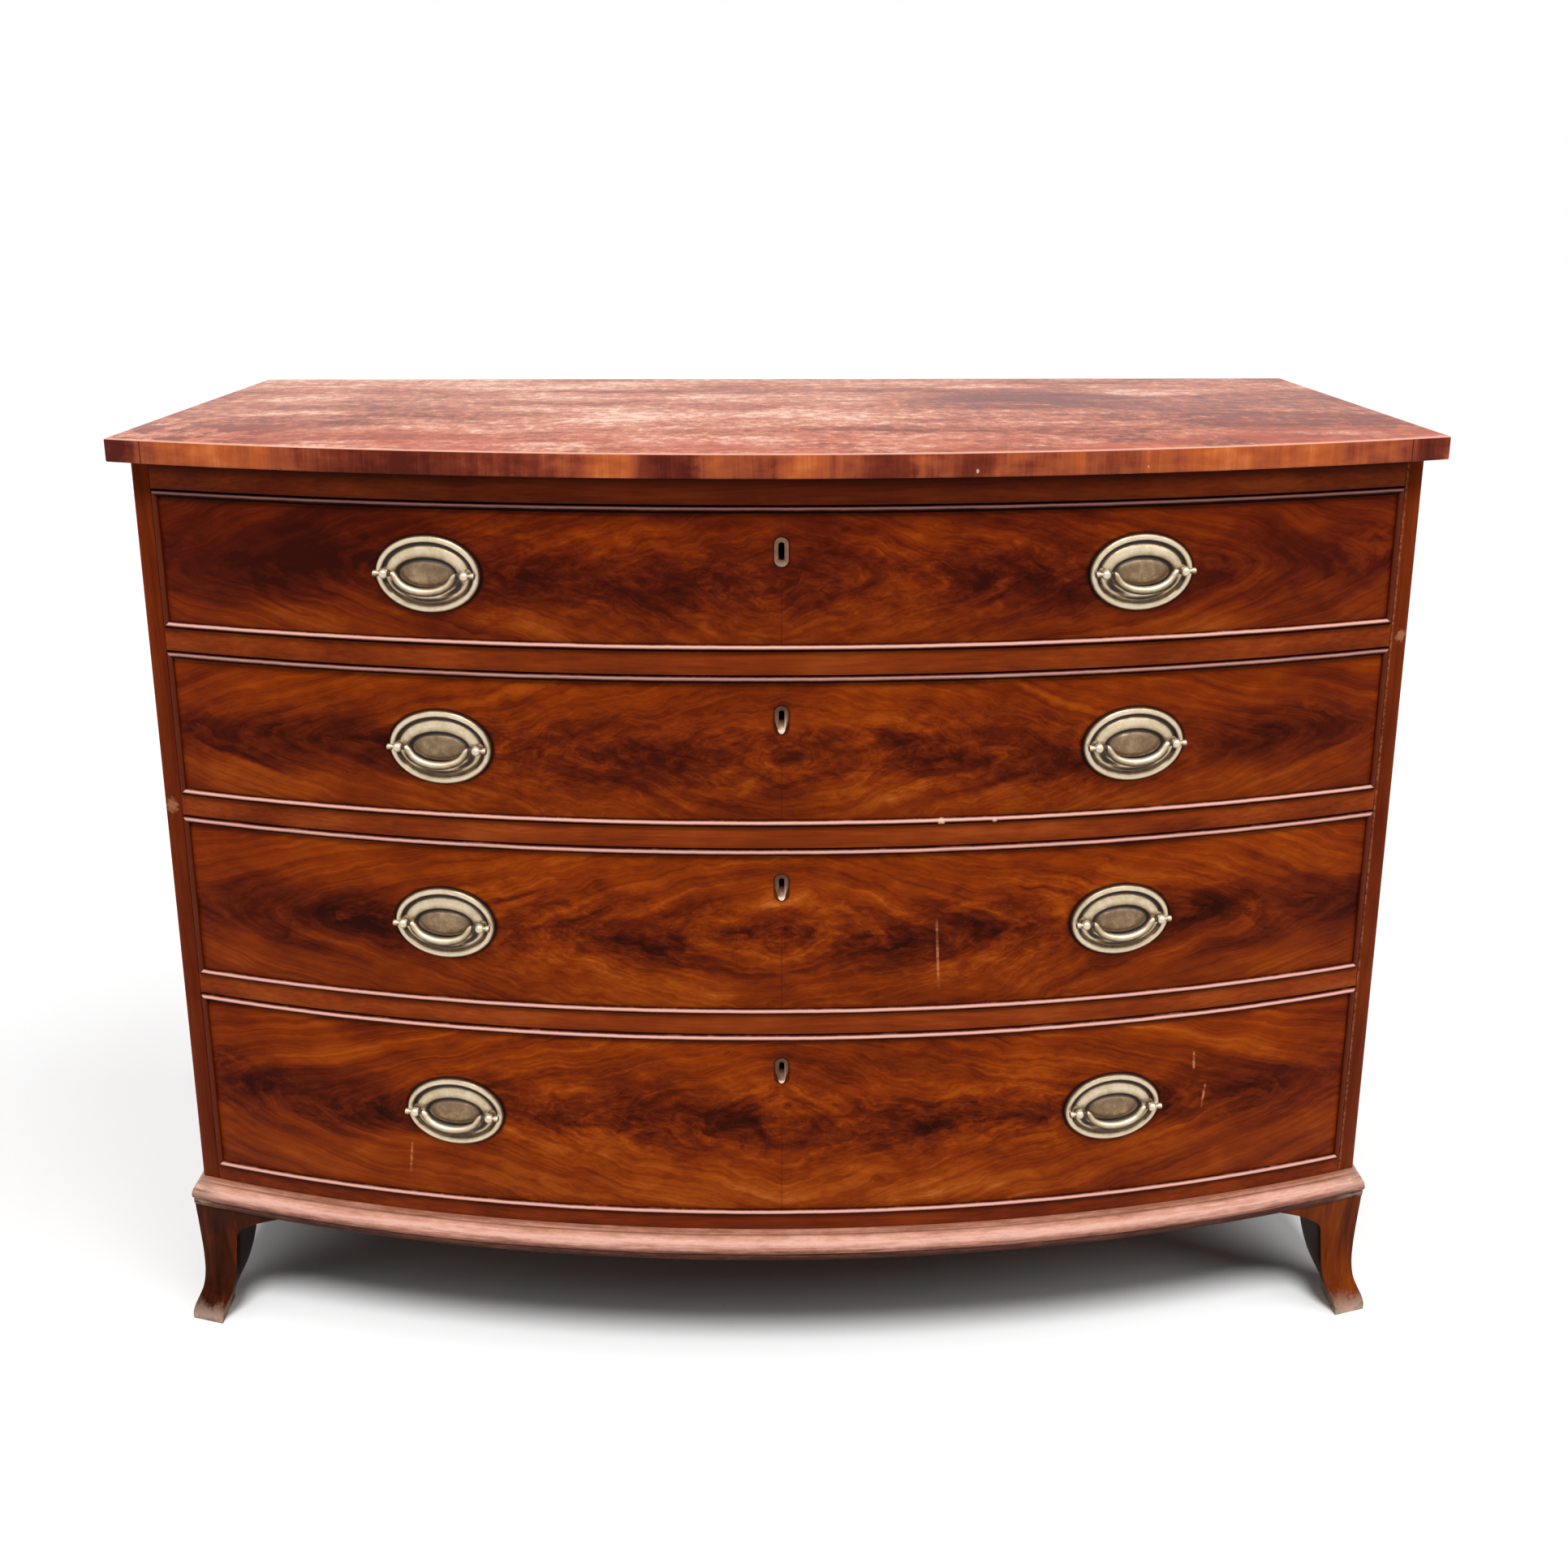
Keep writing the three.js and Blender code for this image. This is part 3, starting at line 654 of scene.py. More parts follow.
def topEdge(finish, x, y, z):
    patch = finish.noise(x * 22, 3.0, 1.0)
    line = finish.noise(x * 150, z * 8, y * 10, detail=4, roughness=0.6)
    hair = finish.noise(x * 640, z * 40, 8.0, detail=2)
    blot = finish.noise(x * 46, z * 90, 6.0, detail=4)
    tone = 0.5 + (patch - 0.5) * 0.9 + (line - 0.5) * 0.45 + (hair - 0.5) * 0.2 + (blot - 0.5) * 0.6
    for placeX, wide, shift in topLook["stretches"]:
        away = abs(x + (blot - 0.5) * 0.02 - placeX)
        tone = tone + finish.fade(away, wide * 0.3, wide * 1.3, shift, 0.0)
    edge = finish.ramp(tone, topLook["edgeFigure"])
    for joint in topLook["joints"]:
        line = finish.fade(abs(x - joint), 0.0002, 0.001, 0.8, 0.0)
        edge = finish.mix(line, edge, topLook["joint"])
    for nickX, nickZ, size in topLook["nicks"]:
        ragged = (hair - 0.5) * 0.003 + (blot - 0.5) * 0.004
        far = distance((x - nickX) * 1.4, z - nickZ) + ragged
        nick = finish.fade(far, size * 0.6, size * 1.3, 0.85, 0.0)
        edge = finish.mix(nick, edge, topLook["nick"])
    return edge


def topFinish():
    finish = Finish("topBoard")
    x, y, z = finish.place()
    normalZ = finish.facing()[2]
    flat, streak, bloom = topFlat(finish, x, y)
    out = outsideBow(x, y) + (bloom - 0.5) * 0.006 - case["topOffset"]
    strip = finish.fade(out, -topLook["frontStrip"], -0.001)
    flat = finish.mix(strip * 0.8, flat, topLook["strip"])
    facingUp = finish.fade(normalZ, 0.35, 0.9)
    shown = finish.mix(facingUp, topEdge(finish, x, y, z), flat)
    # Where the arris faces about halfway up it is lighter: painted highlight
    arris = finish.fade(abs(normalZ - 0.62), 0.1, 0.32, 0.55, 0.0)
    shown = finish.mix(arris, shown, topLook["arris"])
    rough = 0.42 + (bloom - 0.5) * 0.5
    return finish.surface(shown, rough, specular=0.08, bump=(streak * 0.4 + bloom * 0.6, 0.00015, 0.4))


# Beads: pale on their tops, where the polish is worn, most of all on the lower beads that hands touch, and
# where a highlight is painted; dark underneath, where shade is painted
beadLook = {
    # By how far the bead's round faces upwards, which paints highlight on the top and shade underneath,
    # where it is polished and where it is worn
    "plain": [(0.36, 14, 4, 3), (0.5, 50, 16, 10), (0.6, 116, 72, 66), (0.8, 158, 112, 106),
              (0.93, 84, 44, 38), (0.99, 26, 9, 7)],
    "pale": [(0.31, 16, 5, 4), (0.43, 128, 72, 60), (0.53, 204, 146, 130), (0.76, 236, 184, 170),
             (0.92, 170, 110, 96), (0.99, 52, 22, 17)],
    "upright": colour(104, 42, 22),
    "chips": ((0.129, 0.512, 0.0036), (0.1725, 0.512, 0.0026)),  # x, z and size
    "chip": colour(226, 192, 164),
}


def beadFinish():
    finish = Finish("cockbead")
    x, y, z = finish.place()
    normalZ = finish.facing()[2]
    wear = finish.noise(x * 26, z * 26, 3.0, detail=5, roughness=0.65)
    fine = finish.noise(x * 190, z * 190, 7.0, detail=3)
    # Facing up reads pale and facing down dark: painted highlight on the round's top, painted shade under
    # it
    lift = normalZ * 0.5 + 0.5 + (wear - 0.5) * 0.16 + (fine - 0.5) * 0.06
    share = finish.fade(finish.level("worn") + (wear - 0.5) * 0.4, 0.0, 1.0)
    shown = finish.mix(share, finish.ramp(lift, beadLook["plain"]), finish.ramp(lift, beadLook["pale"]))
    upright = finish.fade(finish.level("worn"), -0.15, -0.05, 1.0, 0.0)
    shown = finish.mix(upright * 0.75, shown, beadLook["upright"])
    for chipX, chipZ, size in beadLook["chips"]:
        far = distance(x - chipX, z - chipZ) + (fine - 0.5) * 0.003
        shown = finish.mix(finish.fade(far, size * 0.5, size, 0.9, 0.0), shown, beadLook["chip"])
    return finish.surface(shown, 0.3 + (wear - 0.5) * 0.2, specular=0.02, bump=(wear, 0.0001, 0.3))


# Base moulding: pale over the round, where it is worn and a highlight is painted, dark along its foot,
# where shade is painted, and streaked along its length
baseLook = {
    "figure": [(0.06, 58, 28, 20), (0.22, 98, 58, 45), (0.38, 168, 112, 92), (0.6, 220, 170, 154),
               (0.76, 194, 138, 116), (0.97, 138, 84, 62)],
    "quirk": colour(58, 28, 22),
    "bare": colour(158, 128, 108),
    "dark": colour(84, 52, 42),
}


def baseFinish():
    finish = Finish("baseMoulding")
    x, y, z = finish.place()
    along = finish.noise(x * 12, y * 12, z * 420, detail=5, roughness=0.65)
    worn = finish.noise(x * 60, y * 60, z * 300, detail=5, roughness=0.7)
    # Height on the moulding sets the tone: the pale round is wear and painted highlight, the dark foot
    # painted shade
    share = (z - levels["baseFoot"]) * (1 / (levels["baseTop"] - levels["baseFoot"]))
    tone = share + (along - 0.5) * 0.56 + (worn - 0.5) * 0.4
    wood = finish.ramp(tone, baseLook["figure"])
    for quirk in base["quirks"]:
        line = finish.fade(abs(share - quirk), 0.01, 0.036, 0.45, 0.0)
        wood = finish.mix(line, wood, baseLook["quirk"])
    forward = finish.fade(y, plan["frontY"] + 0.004, plan["frontY"] + 0.03, 1.0, 0.0)
    fromCorner = finish.fade(abs(x), plan["halfCase"] - 0.026, plan["halfCase"] + 0.002) * forward
    wood = finish.mix(fromCorner * finish.fade(worn, 0.4, 0.58) * 0.75, wood, baseLook["bare"])
    wood = finish.mix(fromCorner * finish.fade(along, 0.54, 0.62) * 0.6, wood, baseLook["dark"])
    rough = 0.38 + (worn - 0.5) * 0.3
    return finish.surface(wood, rough, specular=0.12, bump=(along * 0.5 + worn * 0.5, 0.0003, 0.5))


# Feet: polished, dark on their inner faces, where shade is painted, and rubbed bare at the toes
footLook = {
    "figure": [(0.3, 36, 12, 4), (0.45, 64, 25, 8), (0.6, 104, 43, 10), (0.78, 134, 62, 18)],
    "inner": colour(22, 9, 5),
    "toe": [(0.35, 128, 94, 78), (0.62, 204, 176, 156)],
}


def footFinish():
    finish = Finish("feet")
    x, y, z = finish.place()
    grain = finish.noise(x * 60, y * 60, z * 9, detail=4)
    fine = finish.noise(x * 340, y * 340, z * 40, detail=3)
    worn = finish.noise(x * 70, y * 70, z * 70, detail=5, roughness=0.7)
    tone = grain * 0.6 + fine * 0.25 + 0.075 + finish.fade(x, -0.3, 0.3, -0.07, 0.1)
    wood = finish.ramp(tone, footLook["figure"])
    normalX = finish.facing()[0]
    # Faces turned in towards the chest's middle take painted shade
    innerShade = finish.fade(normalX * x, -0.3, -0.12, 0.85, 0.0)
    wood = finish.mix(innerShade, wood, footLook["inner"])
    toe = finish.fade(z + (worn - 0.5) * 0.04, 0.002, 0.022, 0.9, 0.0)
    wood = finish.mix(toe, wood, finish.ramp(worn, footLook["toe"]))
    return finish.surface(wood, 0.36 + toe * 0.3, specular=0.02, bump=(fine + toe * worn, 0.0002, 0.4))


# Plain drawer linings, their grain along x or y
def liningFinish(name, grain):
    finish = Finish(name)
    x, y, z = finish.place()
    spots = {"x": (x, y, z), "y": (y, x, z)}[grain]
    return finish.surface(groundWood(finish, *spots), 0.62, specular=0.3)


# Pressed brass: pale where it is rubbed, brown to black where patina fills its grooves and where shade is
# painted, round the plate's foot, on the rim's flanks, below the bail and on the bail's underside; the
# keyholes' linings are redder
brassLook = {
    "figure": [(0.0, 216, 200, 176), (0.22, 184, 164, 128), (0.5, 126, 102, 76), (0.75, 70, 50, 34),
               (1.0, 26, 18, 12)],
    "keyhole": [(0.05, 72, 44, 30), (0.35, 118, 82, 62), (0.6, 160, 130, 114), (0.9, 252, 222, 200)],
}


def brassFinish():
    finish = Finish("agedBrass")
    x, y, z = finish.place()
    mottle = finish.noise(x * 190, y * 190, z * 190, detail=5, roughness=0.65)
    smear = finish.noise(x * 45, y * 45, z * 45, detail=3)
    # The level read here is patina in the hollows together with painted shade
    dirtAndShade = finish.level("grime") + (mottle - 0.5) * 0.45 + (smear - 0.5) * 0.3
    base = finish.ramp(dirtAndShade, brassLook["figure"])
    metal = finish.fade(dirtAndShade, 0.35, 0.95, 0.85, 0.15)
    rough = 0.34 + (mottle - 0.5) * 0.2 + (1 - metal) * 0.3
    return finish.surface(base, rough, metallic=metal, bump=(mottle, 0.0002, 0.3))


# Bright at the lower end, where the key rubs it and a highlight is painted
def keyholeFinish():
    finish = Finish("keyholeBrass")
    x, y, z = finish.place()
    mottle = finish.noise(x * 220, y * 220, z * 220, detail=5, roughness=0.65)
    tone = finish.level("rubbed") + (mottle - 0.5) * 0.3
    base = finish.ramp(tone, brassLook["keyhole"])
    rough = 0.4 + (mottle - 0.5) * 0.2
    return finish.surface(base, rough, specular=0.15, metallic=0.1, bump=(mottle, 0.0002, 0.3))


# Case
levels = {
    "baseFoot": 0.116,
    "baseTop": 0.1405,
    "bottomTop": 0.1545,
    "caseTop": 0.793,
    "boardTop": 0.812,
    "gap": 0.0003,
}
# Openings from the top one down, with where each one's handles and keyhole sit
drawers = {
    1: {"floor": 0.6549, "top": 0.7705, "key": 0.7341, "left": -0.277, "right": 0.284, "lift": 0},
    2: {"floor": 0.5094, "top": 0.6357, "key": 0.5991, "left": -0.2745, "right": 0.2855, "lift": -0.002},
    3: {"floor": 0.3435, "top": 0.4909, "key": 0.4569, "left": -0.279, "right": 0.2825, "lift": 0},
    4: {"floor": 0.1545, "top": 0.3257, "key": 0.2917, "left": -0.2795, "right": 0.285, "lift": 0.0025},
}
case = {
    "innerHalf": 0.5092,
    "halfOpening": 0.5095,
    "topRailBack": 0.07 + plan["frontY"],
    "dividerBack": 0.4477 + plan["frontY"],
    "railBack": 0.06 + plan["frontY"],
    "recessHalf": 0.4642,
    "dustPanel": 0.008,
    "arris": 0.0004,
    "topArris": 0.0011,
    "topHalf": 0.54,
    "topOffset": 0.018,
    "dividers": {1: "divider_upper", 2: "divider_middle", 3: "divider_lower"},  # by the drawer above
    # Each rail's seed and how much lighter its veneer is
    "veneers": {"topRail": (4.0, -0.03), "bottomRail": (11.0, -0.06), "divider1": (24.0, 0.03),
                "divider2": (31.0, 0.05), "divider3": (38.0, 0.07)},
}


def makeTop():
    low = levels["caseTop"] + levels["gap"]
    half, offset = case["topHalf"], case["topOffset"]
    board = bowedBoard("topBoard", -half, half, low, levels["boardTop"], offset, plan["caseBack"])
    complete(board, case["topArris"], topFinish(), "case", "top_veneer", "top_board", 3)
    print("top board made")


def makeRail(name, low, high, back, node, recess=None):
    rail = bowedBoard(name, -case["innerHalf"], case["innerHalf"], low, high, 0, back)
    if recess:
        carve(rail, newBox("recess", *recess))
    finish = polishedRail(name, *case["veneers"][name])
    complete(rail, case["arris"], finish, "case", "rail_veneer", node)


def makeRails():
    back = case["dividerBack"]
    makeRail("topRail", drawers[1]["top"], levels["caseTop"], case["topRailBack"], "top_rail")
    makeRail("bottomRail", levels["baseTop"] + levels["gap"], levels["bottomTop"], back, "bottom_board")
    for above, node in case["dividers"].items():
        low, high = drawers[above + 1]["top"], drawers[above]["floor"]
        nearest = (-case["recessHalf"], case["railBack"], low - drum["overrun"])
        farthest = (case["recessHalf"], back + drum["overrun"], high - case["dustPanel"])
        makeRail(f"divider{above}", low, high, back, node, (nearest, farthest))
    print("rails made")


def makeSides():
    finish = sideFinish()
    low = levels["baseTop"] + levels["gap"]
    for hand, sign in hands.items():
        left, right = sorted((sign * plan["halfCase"], sign * case["halfOpening"]))
        name = f"caseSide{hand.title()}"
        side = bowedBoard(name, left, right, low, levels["caseTop"], 0, plan["backY"])
        complete(side, case["arris"], finish, "case", "rail_veneer", f"case_side_{hand}")
    print("sides made")


# Cockbeads
bead = {
    "thick": 0.005,
    "proud": 0.0032,
    "deep": 0.024,
    "nose": 0.0024,
    "noseSteps": 5,
    "noseDegrees": 40,  # an edge that turns more than this is rounded
    "slack": 0.0001,
    "spare": 0.006,
    "halfDrawer": 0.5085,
    "footClearance": 0.0007,
    "topClearance": 0.001,
    "wearAndHighlightLow": {1: 1.0, 2: 0.95, 3: 0.82, 4: 0.78},
    "wearAndHighlightHigh": {1: 0.12, 2: 0.36, 3: 0.66, 4: 0.84},
    "wearAndHighlightSide": -0.2,
}


def beadBar(name, left, right, foot, top):
    bar = bowedBoard(name, left, right, foot, top, bead["proud"], inner=-bead["deep"])
    outer = bowRadius + bead["proud"] - bead["slack"]
    turned = math.radians(bead["noseDegrees"])

    def isNose(edge):
        onFace = all(math.hypot(vert.co.x, vert.co.y - bowCentreY) > outer for vert in edge.verts)
        return onFace and edge.is_manifold and edge.calc_face_angle() > turned

    selectEdges(bar, isNose)
    bpy.ops.mesh.bevel(offset=bead["nose"], segments=bead["noseSteps"], affect="EDGES")
    bpy.ops.object.mode_set(mode="OBJECT")
    return bar


def makeCockbead(number, finish):
    foot = drawers[number]["floor"] + bead["footClearance"]
    top = drawers[number]["top"] - bead["topClearance"]
    half = bead["halfDrawer"]
    thick, spare = bead["thick"], bead["spare"]
    low = beadBar("beadLow", -half - spare, half + spare, foot, foot + thick)
    high = beadBar("beadHigh", -half - spare, half + spare, top - thick, top)
    left = beadBar("beadLeft", -half, -half + thick, foot - spare, top + spare)
    right = beadBar("beadRight", half - thick, half, foot - spare, top + spare)
    for sign in (-1, 1):
        bisect(low, (sign * half, 0, foot), (sign, 0, 1))
        bisect(high, (sign * half, 0, top), (sign, 0, -1))
    for sign, bar in ((-1, left), (1, right)):
        bisect(bar, (sign * half, 0, foot), (-sign, 0, -1))
        bisect(bar, (sign * half, 0, top), (-sign, 0, 1))
    # How far each bar takes the pale colours: wear together with painted highlight
    for bar, worn in ((low, bead["wearAndHighlightLow"][number]), (high, bead["wearAndHighlightHigh"][number]),
                      (left, bead["wearAndHighlightSide"]), (right, bead["wearAndHighlightSide"])):
        setLevel(bar, "worn", lambda vert: worn)
    ring = joinPieces([low, high, left, right], f"cockbead{number}")
    smooth(ring)
    dress(ring, finish, f"drawer_{number}", "bead", f"drawer_{number}_cockbead")


# Drawer fronts
front = {
    "half": 0.5032,
    "edge": 0.006,
    "topEdge": 0.0063,
    "thick": 0.024,
    "arris": 0.0002,
    "boreHalf": 0.00605,
    "boreReach": 0.0058,
    "boreLength": 0.05,
    "slotSides": 32,
}


# Upright slot with round ends, its middle at (0, z), running back along y; its foot may be narrower
def newSlot(name, half, reach, z, nearY, farY, narrow=1.0):
    place = (0, (nearY + farY) / 2, z)
    piece = newCylinder(name, front["slotSides"], half, farY - nearY, place, (math.radians(90), 0, 0))
    for vert in piece.data.vertices:
        if abs(vert.co.z - z) > half / 100:
            vert.co.z += math.copysign(reach, vert.co.z - z)
        below = min(max((z - vert.co.z) / reach, 0), 1)
        vert.co.x *= 1 - (1 - narrow) * below
    return piece


def makeFront(number):
    low = drawers[number]["floor"] + front["edge"]
    high = drawers[number]["top"] - front["topEdge"]
    half = front["half"]
    board = bowedBoard(f"drawerFront{number}", -half, half, low, high, 0, inner=-front["thick"])
    keyZ = drawers[number]["key"]
    size = (front["boreHalf"], front["boreReach"])
    farY = bowY(0) + front["boreLength"]
    carve(board, newSlot("bore", *size, keyZ, bowY(0) - drum["overrun"], farY, lock["narrow"][number]))
    node = f"drawer_{number}_front"
    complete(board, front["arris"], flameFinish(number), f"drawer_{number}", "flame_veneer", node)


# Draws a closed outline along a row of rings: a round disc takes the first ring's shape and is extruded
# to the others
def loftRings(name, rings, values=None):
    deselect()
    bpy.ops.mesh.primitive_circle_add(vertices=len(rings[0]), radius=0.01, fill_type="NGON")
    piece = bpy.context.object
    piece.name = name
    for vert, point in zip(piece.data.vertices, rings[0]):
        vert.co = point
    bpy.ops.object.mode_set(mode="EDIT")
    bpy.ops.mesh.select_all(action="SELECT")
    mesh = bmesh.from_edit_mesh(piece.data)
    level = mesh.verts.layers.float.new("grime") if values else None
    if values:
        for vert in mesh.verts:
            vert[level] = values[0]
    bmesh.update_edit_mesh(piece.data)
    for index in range(1, len(rings)):
        bpy.ops.mesh.extrude_region_move()
        mesh = bmesh.from_edit_mesh(piece.data)
        level = mesh.verts.layers.float.get("grime")
        before = [Vector(point) for point in rings[index - 1]]
        for vert in [v for v in mesh.verts if v.select]:
            near = min(range(len(before)), key=lambda k: (before[k] - vert.co).length_squared)
            vert.co = rings[index][near]
            if values:
                vert[level] = values[index]
        bmesh.update_edit_mesh(piece.data)
    bpy.ops.mesh.select_all(action="SELECT")
    bpy.ops.mesh.normals_make_consistent(inside=False)
    bpy.ops.object.mode_set(mode="OBJECT")
    return piece


# A smooth line through rows of values, read at a place on the first row
def smoothRead(places, values, place):
    last = len(places) - 1
    index = max(k for k in range(last) if places[k] <= place or k == 0)

    def slope(k):
        low, high = max(k - 1, 0), min(k + 1, last)
        return (values[high] - values[low]) / (places[high] - places[low])

    step = places[index + 1] - places[index]
    t = (place - places[index]) / step
    start, end = values[index], values[index + 1]
    rise = (2 * t ** 3 - 3 * t ** 2 + 1) * start + (3 * t ** 2 - 2 * t ** 3) * end
    return rise + step * ((t ** 3 - 2 * t ** 2 + t) * slope(index) + (t ** 3 - t ** 2) * slope(index + 1))


# Base moulding: a fillet, a round between two quirks and a slope, as shares of its reach and height
base = {
    "inside": 0.05,
    "proud": 0.0104,
    "fillet": [(0.865, 0.0), (0.885, 0.175)],
    "outs": [0.837, 0.952, 1.0, 0.962, 0.856, 0.692, 0.5, 0.327],
    "ups": [0.21, 0.26, 0.36, 0.49, 0.6, 0.7, 0.77, 0.8],
    "slope": [(0.25, 0.815), (0.25, 0.835), (0.144, 0.92), (0.0, 1.0)],
    "quirks": (0.195, 0.825),
    "roundSteps": 21,
    "stations": 96,
    "gap": 0.0003,
}


def mitrePoint(share):
    outerX, innerX = plan["halfCase"] + base["proud"], plan["halfCase"] - base["inside"]
    outerY, innerY = bowY(outerX, base["proud"]), bowY(innerX, -base["inside"])
    return Vector((innerX + (outerX - innerX) * share, innerY + (outerY - innerY) * share, 0))


def baseSection():
    low, high = levels["baseFoot"], levels["baseTop"]
    inside, proud = base["inside"], base["proud"]
    shares = list(base["fillet"])
    marks = list(range(len(base["outs"])))
    for step in range(base["roundSteps"] + 1):
        mark = step / base["roundSteps"] * marks[-1]
        shares.append((smoothRead(marks, base["outs"], mark), smoothRead(marks, base["ups"], mark)))
    shares.extend(base["slope"])
    section = [((inside + out * proud) / (inside + proud), low + up * (high - low)) for out, up in shares]
    return [(0, low), *section, (0, high)]


def makeBase():
    finish = baseFinish()
    section = baseSection()
    rings = []
    for station in range(base["stations"] + 1):
        across = 2 * station / base["stations"] - 1
        ring = []
        for share, up in section:
            corner = mitrePoint(share)
            offset = math.hypot(corner.x, corner.y - bowCentreY) - bowRadius
            x = across * corner.x
            ring.append((x, bowY(x, offset), up))
        rings.append(ring)
    pieces = {"front": loftRings("baseMouldingFront", rings)}
    for hand, sign in hands.items():
        corners = [mitrePoint(share) for share, up in section]
        near = [(sign * c.x, c.y + base["gap"], up) for c, (share, up) in zip(corners, section)]
        far = [(x, plan["backY"], up) for x, y, up in near]
        pieces[hand] = loftRings(f"baseMoulding{hand.title()}", [near, far])
    for hand, piece in pieces.items():
        smooth(piece, 40)
        dress(piece, finish, "case", "base_moulding", f"base_moulding_{hand}")
    print("base moulding made")


# Feet: an outline of two arms and a block, drawn upwards with shares of its reaches and flare by height
foot = {
    "height": 0.1157,
    "frontReach": 0.088,
    "sideReach": 0.1,
    "thick": 0.016,
    "slack": 0.0005,
    "block": (0.04, 0.086),
    "flare": 0.018,
    "levels": [0, 0.05, 0.11, 0.18, 0.26, 0.38, 0.54, 0.68, 0.8, 0.885, 0.93, 1],
    "flares": [1, 1, 0.9, 0.68, 0.47, 0.35, 0.33, 0.36, 0.4, 0.43, 0.45, 0.47],
    "fronts": [0.35, 0.35, 0.35, 0.35, 0.354, 0.372, 0.398, 0.428, 0.474, 0.64, 0.76, 1],
    "sides": [0.42, 0.43, 0.45, 0.49, 0.54, 0.61, 0.7, 0.77, 0.83, 0.89, 0.93, 1],
    "steps": 40,
    "arris": 0.0007,
}


def footOutline(frontReach, sideReach):
    thick = foot["thick"]
    blockWide = min(frontReach - foot["slack"], foot["block"][0])
    blockDeep = min(sideReach - foot["slack"], foot["block"][1])
    return [(0, 0), (frontReach, 0), (frontReach, thick), (blockWide, thick), (blockWide, blockDeep),
            (thick, blockDeep), (thick, sideReach), (0, sideReach)]


def footRings(sign, atFront):
    reachMiddle = plan["halfCase"] - foot["frontReach"] / 2
    angle = math.asin(reachMiddle / bowRadius) if atFront else 0
    cosine, sine = math.cos(angle), math.sin(angle)
    rings = []
    for step in range(foot["steps"] + 1):
        level = step / foot["steps"]
        shares = [smoothRead(foot["levels"], foot[key], level) for key in ("flares", "fronts", "sides")]
        flare = foot["flare"] * shares[0]
        cornerY = (sine * flare - flare * (1 if atFront else 0)) / cosine
        ring = []
        for along, deep in footOutline(foot["frontReach"] * shares[1], foot["sideReach"] * shares[2]):
            x = along * cosine - flare - plan["halfCase"]
            y = -along * sine + deep + cornerY
            y = y + plan["frontY"] if atFront else plan["backY"] - y
            ring.append((-sign * x, y, level * foot["height"]))
        rings.append(ring)
    return rings


def makeFeet():
    finish = footFinish()
    for end in ("front", "back"):
        for hand, sign in hands.items():
            piece = loftRings(f"{end}Foot{hand.title()}", footRings(sign, end == "front"))
            soften(piece, foot["arris"], 2, 50)
            smooth(piece, 40)
            dress(piece, finish, "case", "foot", f"{end}_foot_{hand}")
    print("feet made")


# Brass handles
mm = 0.001
plate = {
    "half": (0.043, 0.031),
    # The pressed oval's rings: inset from its edge and height in millimetres, and a darkening level: patina
    # in the grooves, painted shade on the outer wall and the rim's flanks
    "profile": [(0, 0, 1.2), (0, 1.0, 1.1), (0.35, 2.0, 0.8), (1.3, 3.0, 0.25), (2.7, 3.5, -0.05),
                (4.4, 3.4, 0.1), (5.4, 2.7, 0.6), (6.0, 1.7, 1.3), (7.0, 1.2, 1.5), (7.8, 1.5, 1.3),
                (8.5, 2.1, 0.55), (9.8, 2.9, 0.15), (12.6, 3.6, 0.05), (15.0, 4.0, 0.18),
                (16.6, 4.1, 0.4), (17.6, 3.7, 0.9), (18.5, 2.8, 1.4), (19.2, 2.5, 1.5), (19.8, 2.8, 1.1),
                (20.5, 3.5, 0.72)],
    # The boss inside them: share of the last ring's size, height in millimetres and grime
    "boss": [(0.94, 4.1, 0.55), (0.8, 4.8, 0.5), (0.6, 5.4, 0.48), (0.35, 5.8, 0.46), (0.08, 5.9, 0.46)],
    "sides": 72,
    "lowGroove": (4.5, 9.0, 0.45, 3),  # insets, grime and gradient of the lower half's cleaner groove
    "bailShadow": (0.0285, 0.0206, 0.09),  # half width, depth and spread of the painted shadow below the hanging bail
    "bailShadowLevel": (1.6, 4, 0.002),  # its level, its gradient, and the least height it lies at
    "postHalf": 0.033,
    "axisReach": 0.01,
    "axisLift": 0.001,
    "post": [(0.0042, 0.0005, 1), (0.0042, 0.003, 0.6), (0.0026, 0.0042, 0.6), (0.0026, 0.007, 0.5)],
    "postSides": 20,
    "knob": 0.004,
    "knobSteps": 12,
    "knobStart": 0.24,  # where its arc leaves the stem, as a share of half a turn
    "knobGrime": {1: 0.25, 2: 0.25},
    "bore": (24, 0.002, 0.02),  # sides, radius and length
}
bail = {
    "pin": (0.0415, 0.0414, 0.0407, 0.0382, 0.0376, 0.0365),
    "shoulder": [(0.0268, -0.0001), (0.0245, 0.0012)],
    "halfWidth": 0.0238,
    "drop": 0.0142,
    "arcSteps": 5,
    "radii": [0.0001, 0.0022, 0.0027, 0.0026, 0.0019, 0.0018, 0.0017, 0.0022, 0.0025, 0.0027, 0.0029,
              0.0031, 0.0033, 0.0034],
    "grime": (0.05, 0.85, 0.25),  # on its upper side and its underside, where the darkening is painted shade, and where it starts
    "link": (0.0263, 0.03),  # painted shade from its shoulder to its post
    "steps": 6,
    "sides": 16,
    "nudge": 0.02,
}


def ovalRing(halfX, halfZ, height, sides, middle=(0, 0)):
    turns = [2 * math.pi * k / sides for k in range(sides)]
    x, z = middle
    return [(x + halfX * math.cos(turn), -height, z + halfZ * math.sin(turn)) for turn in turns]


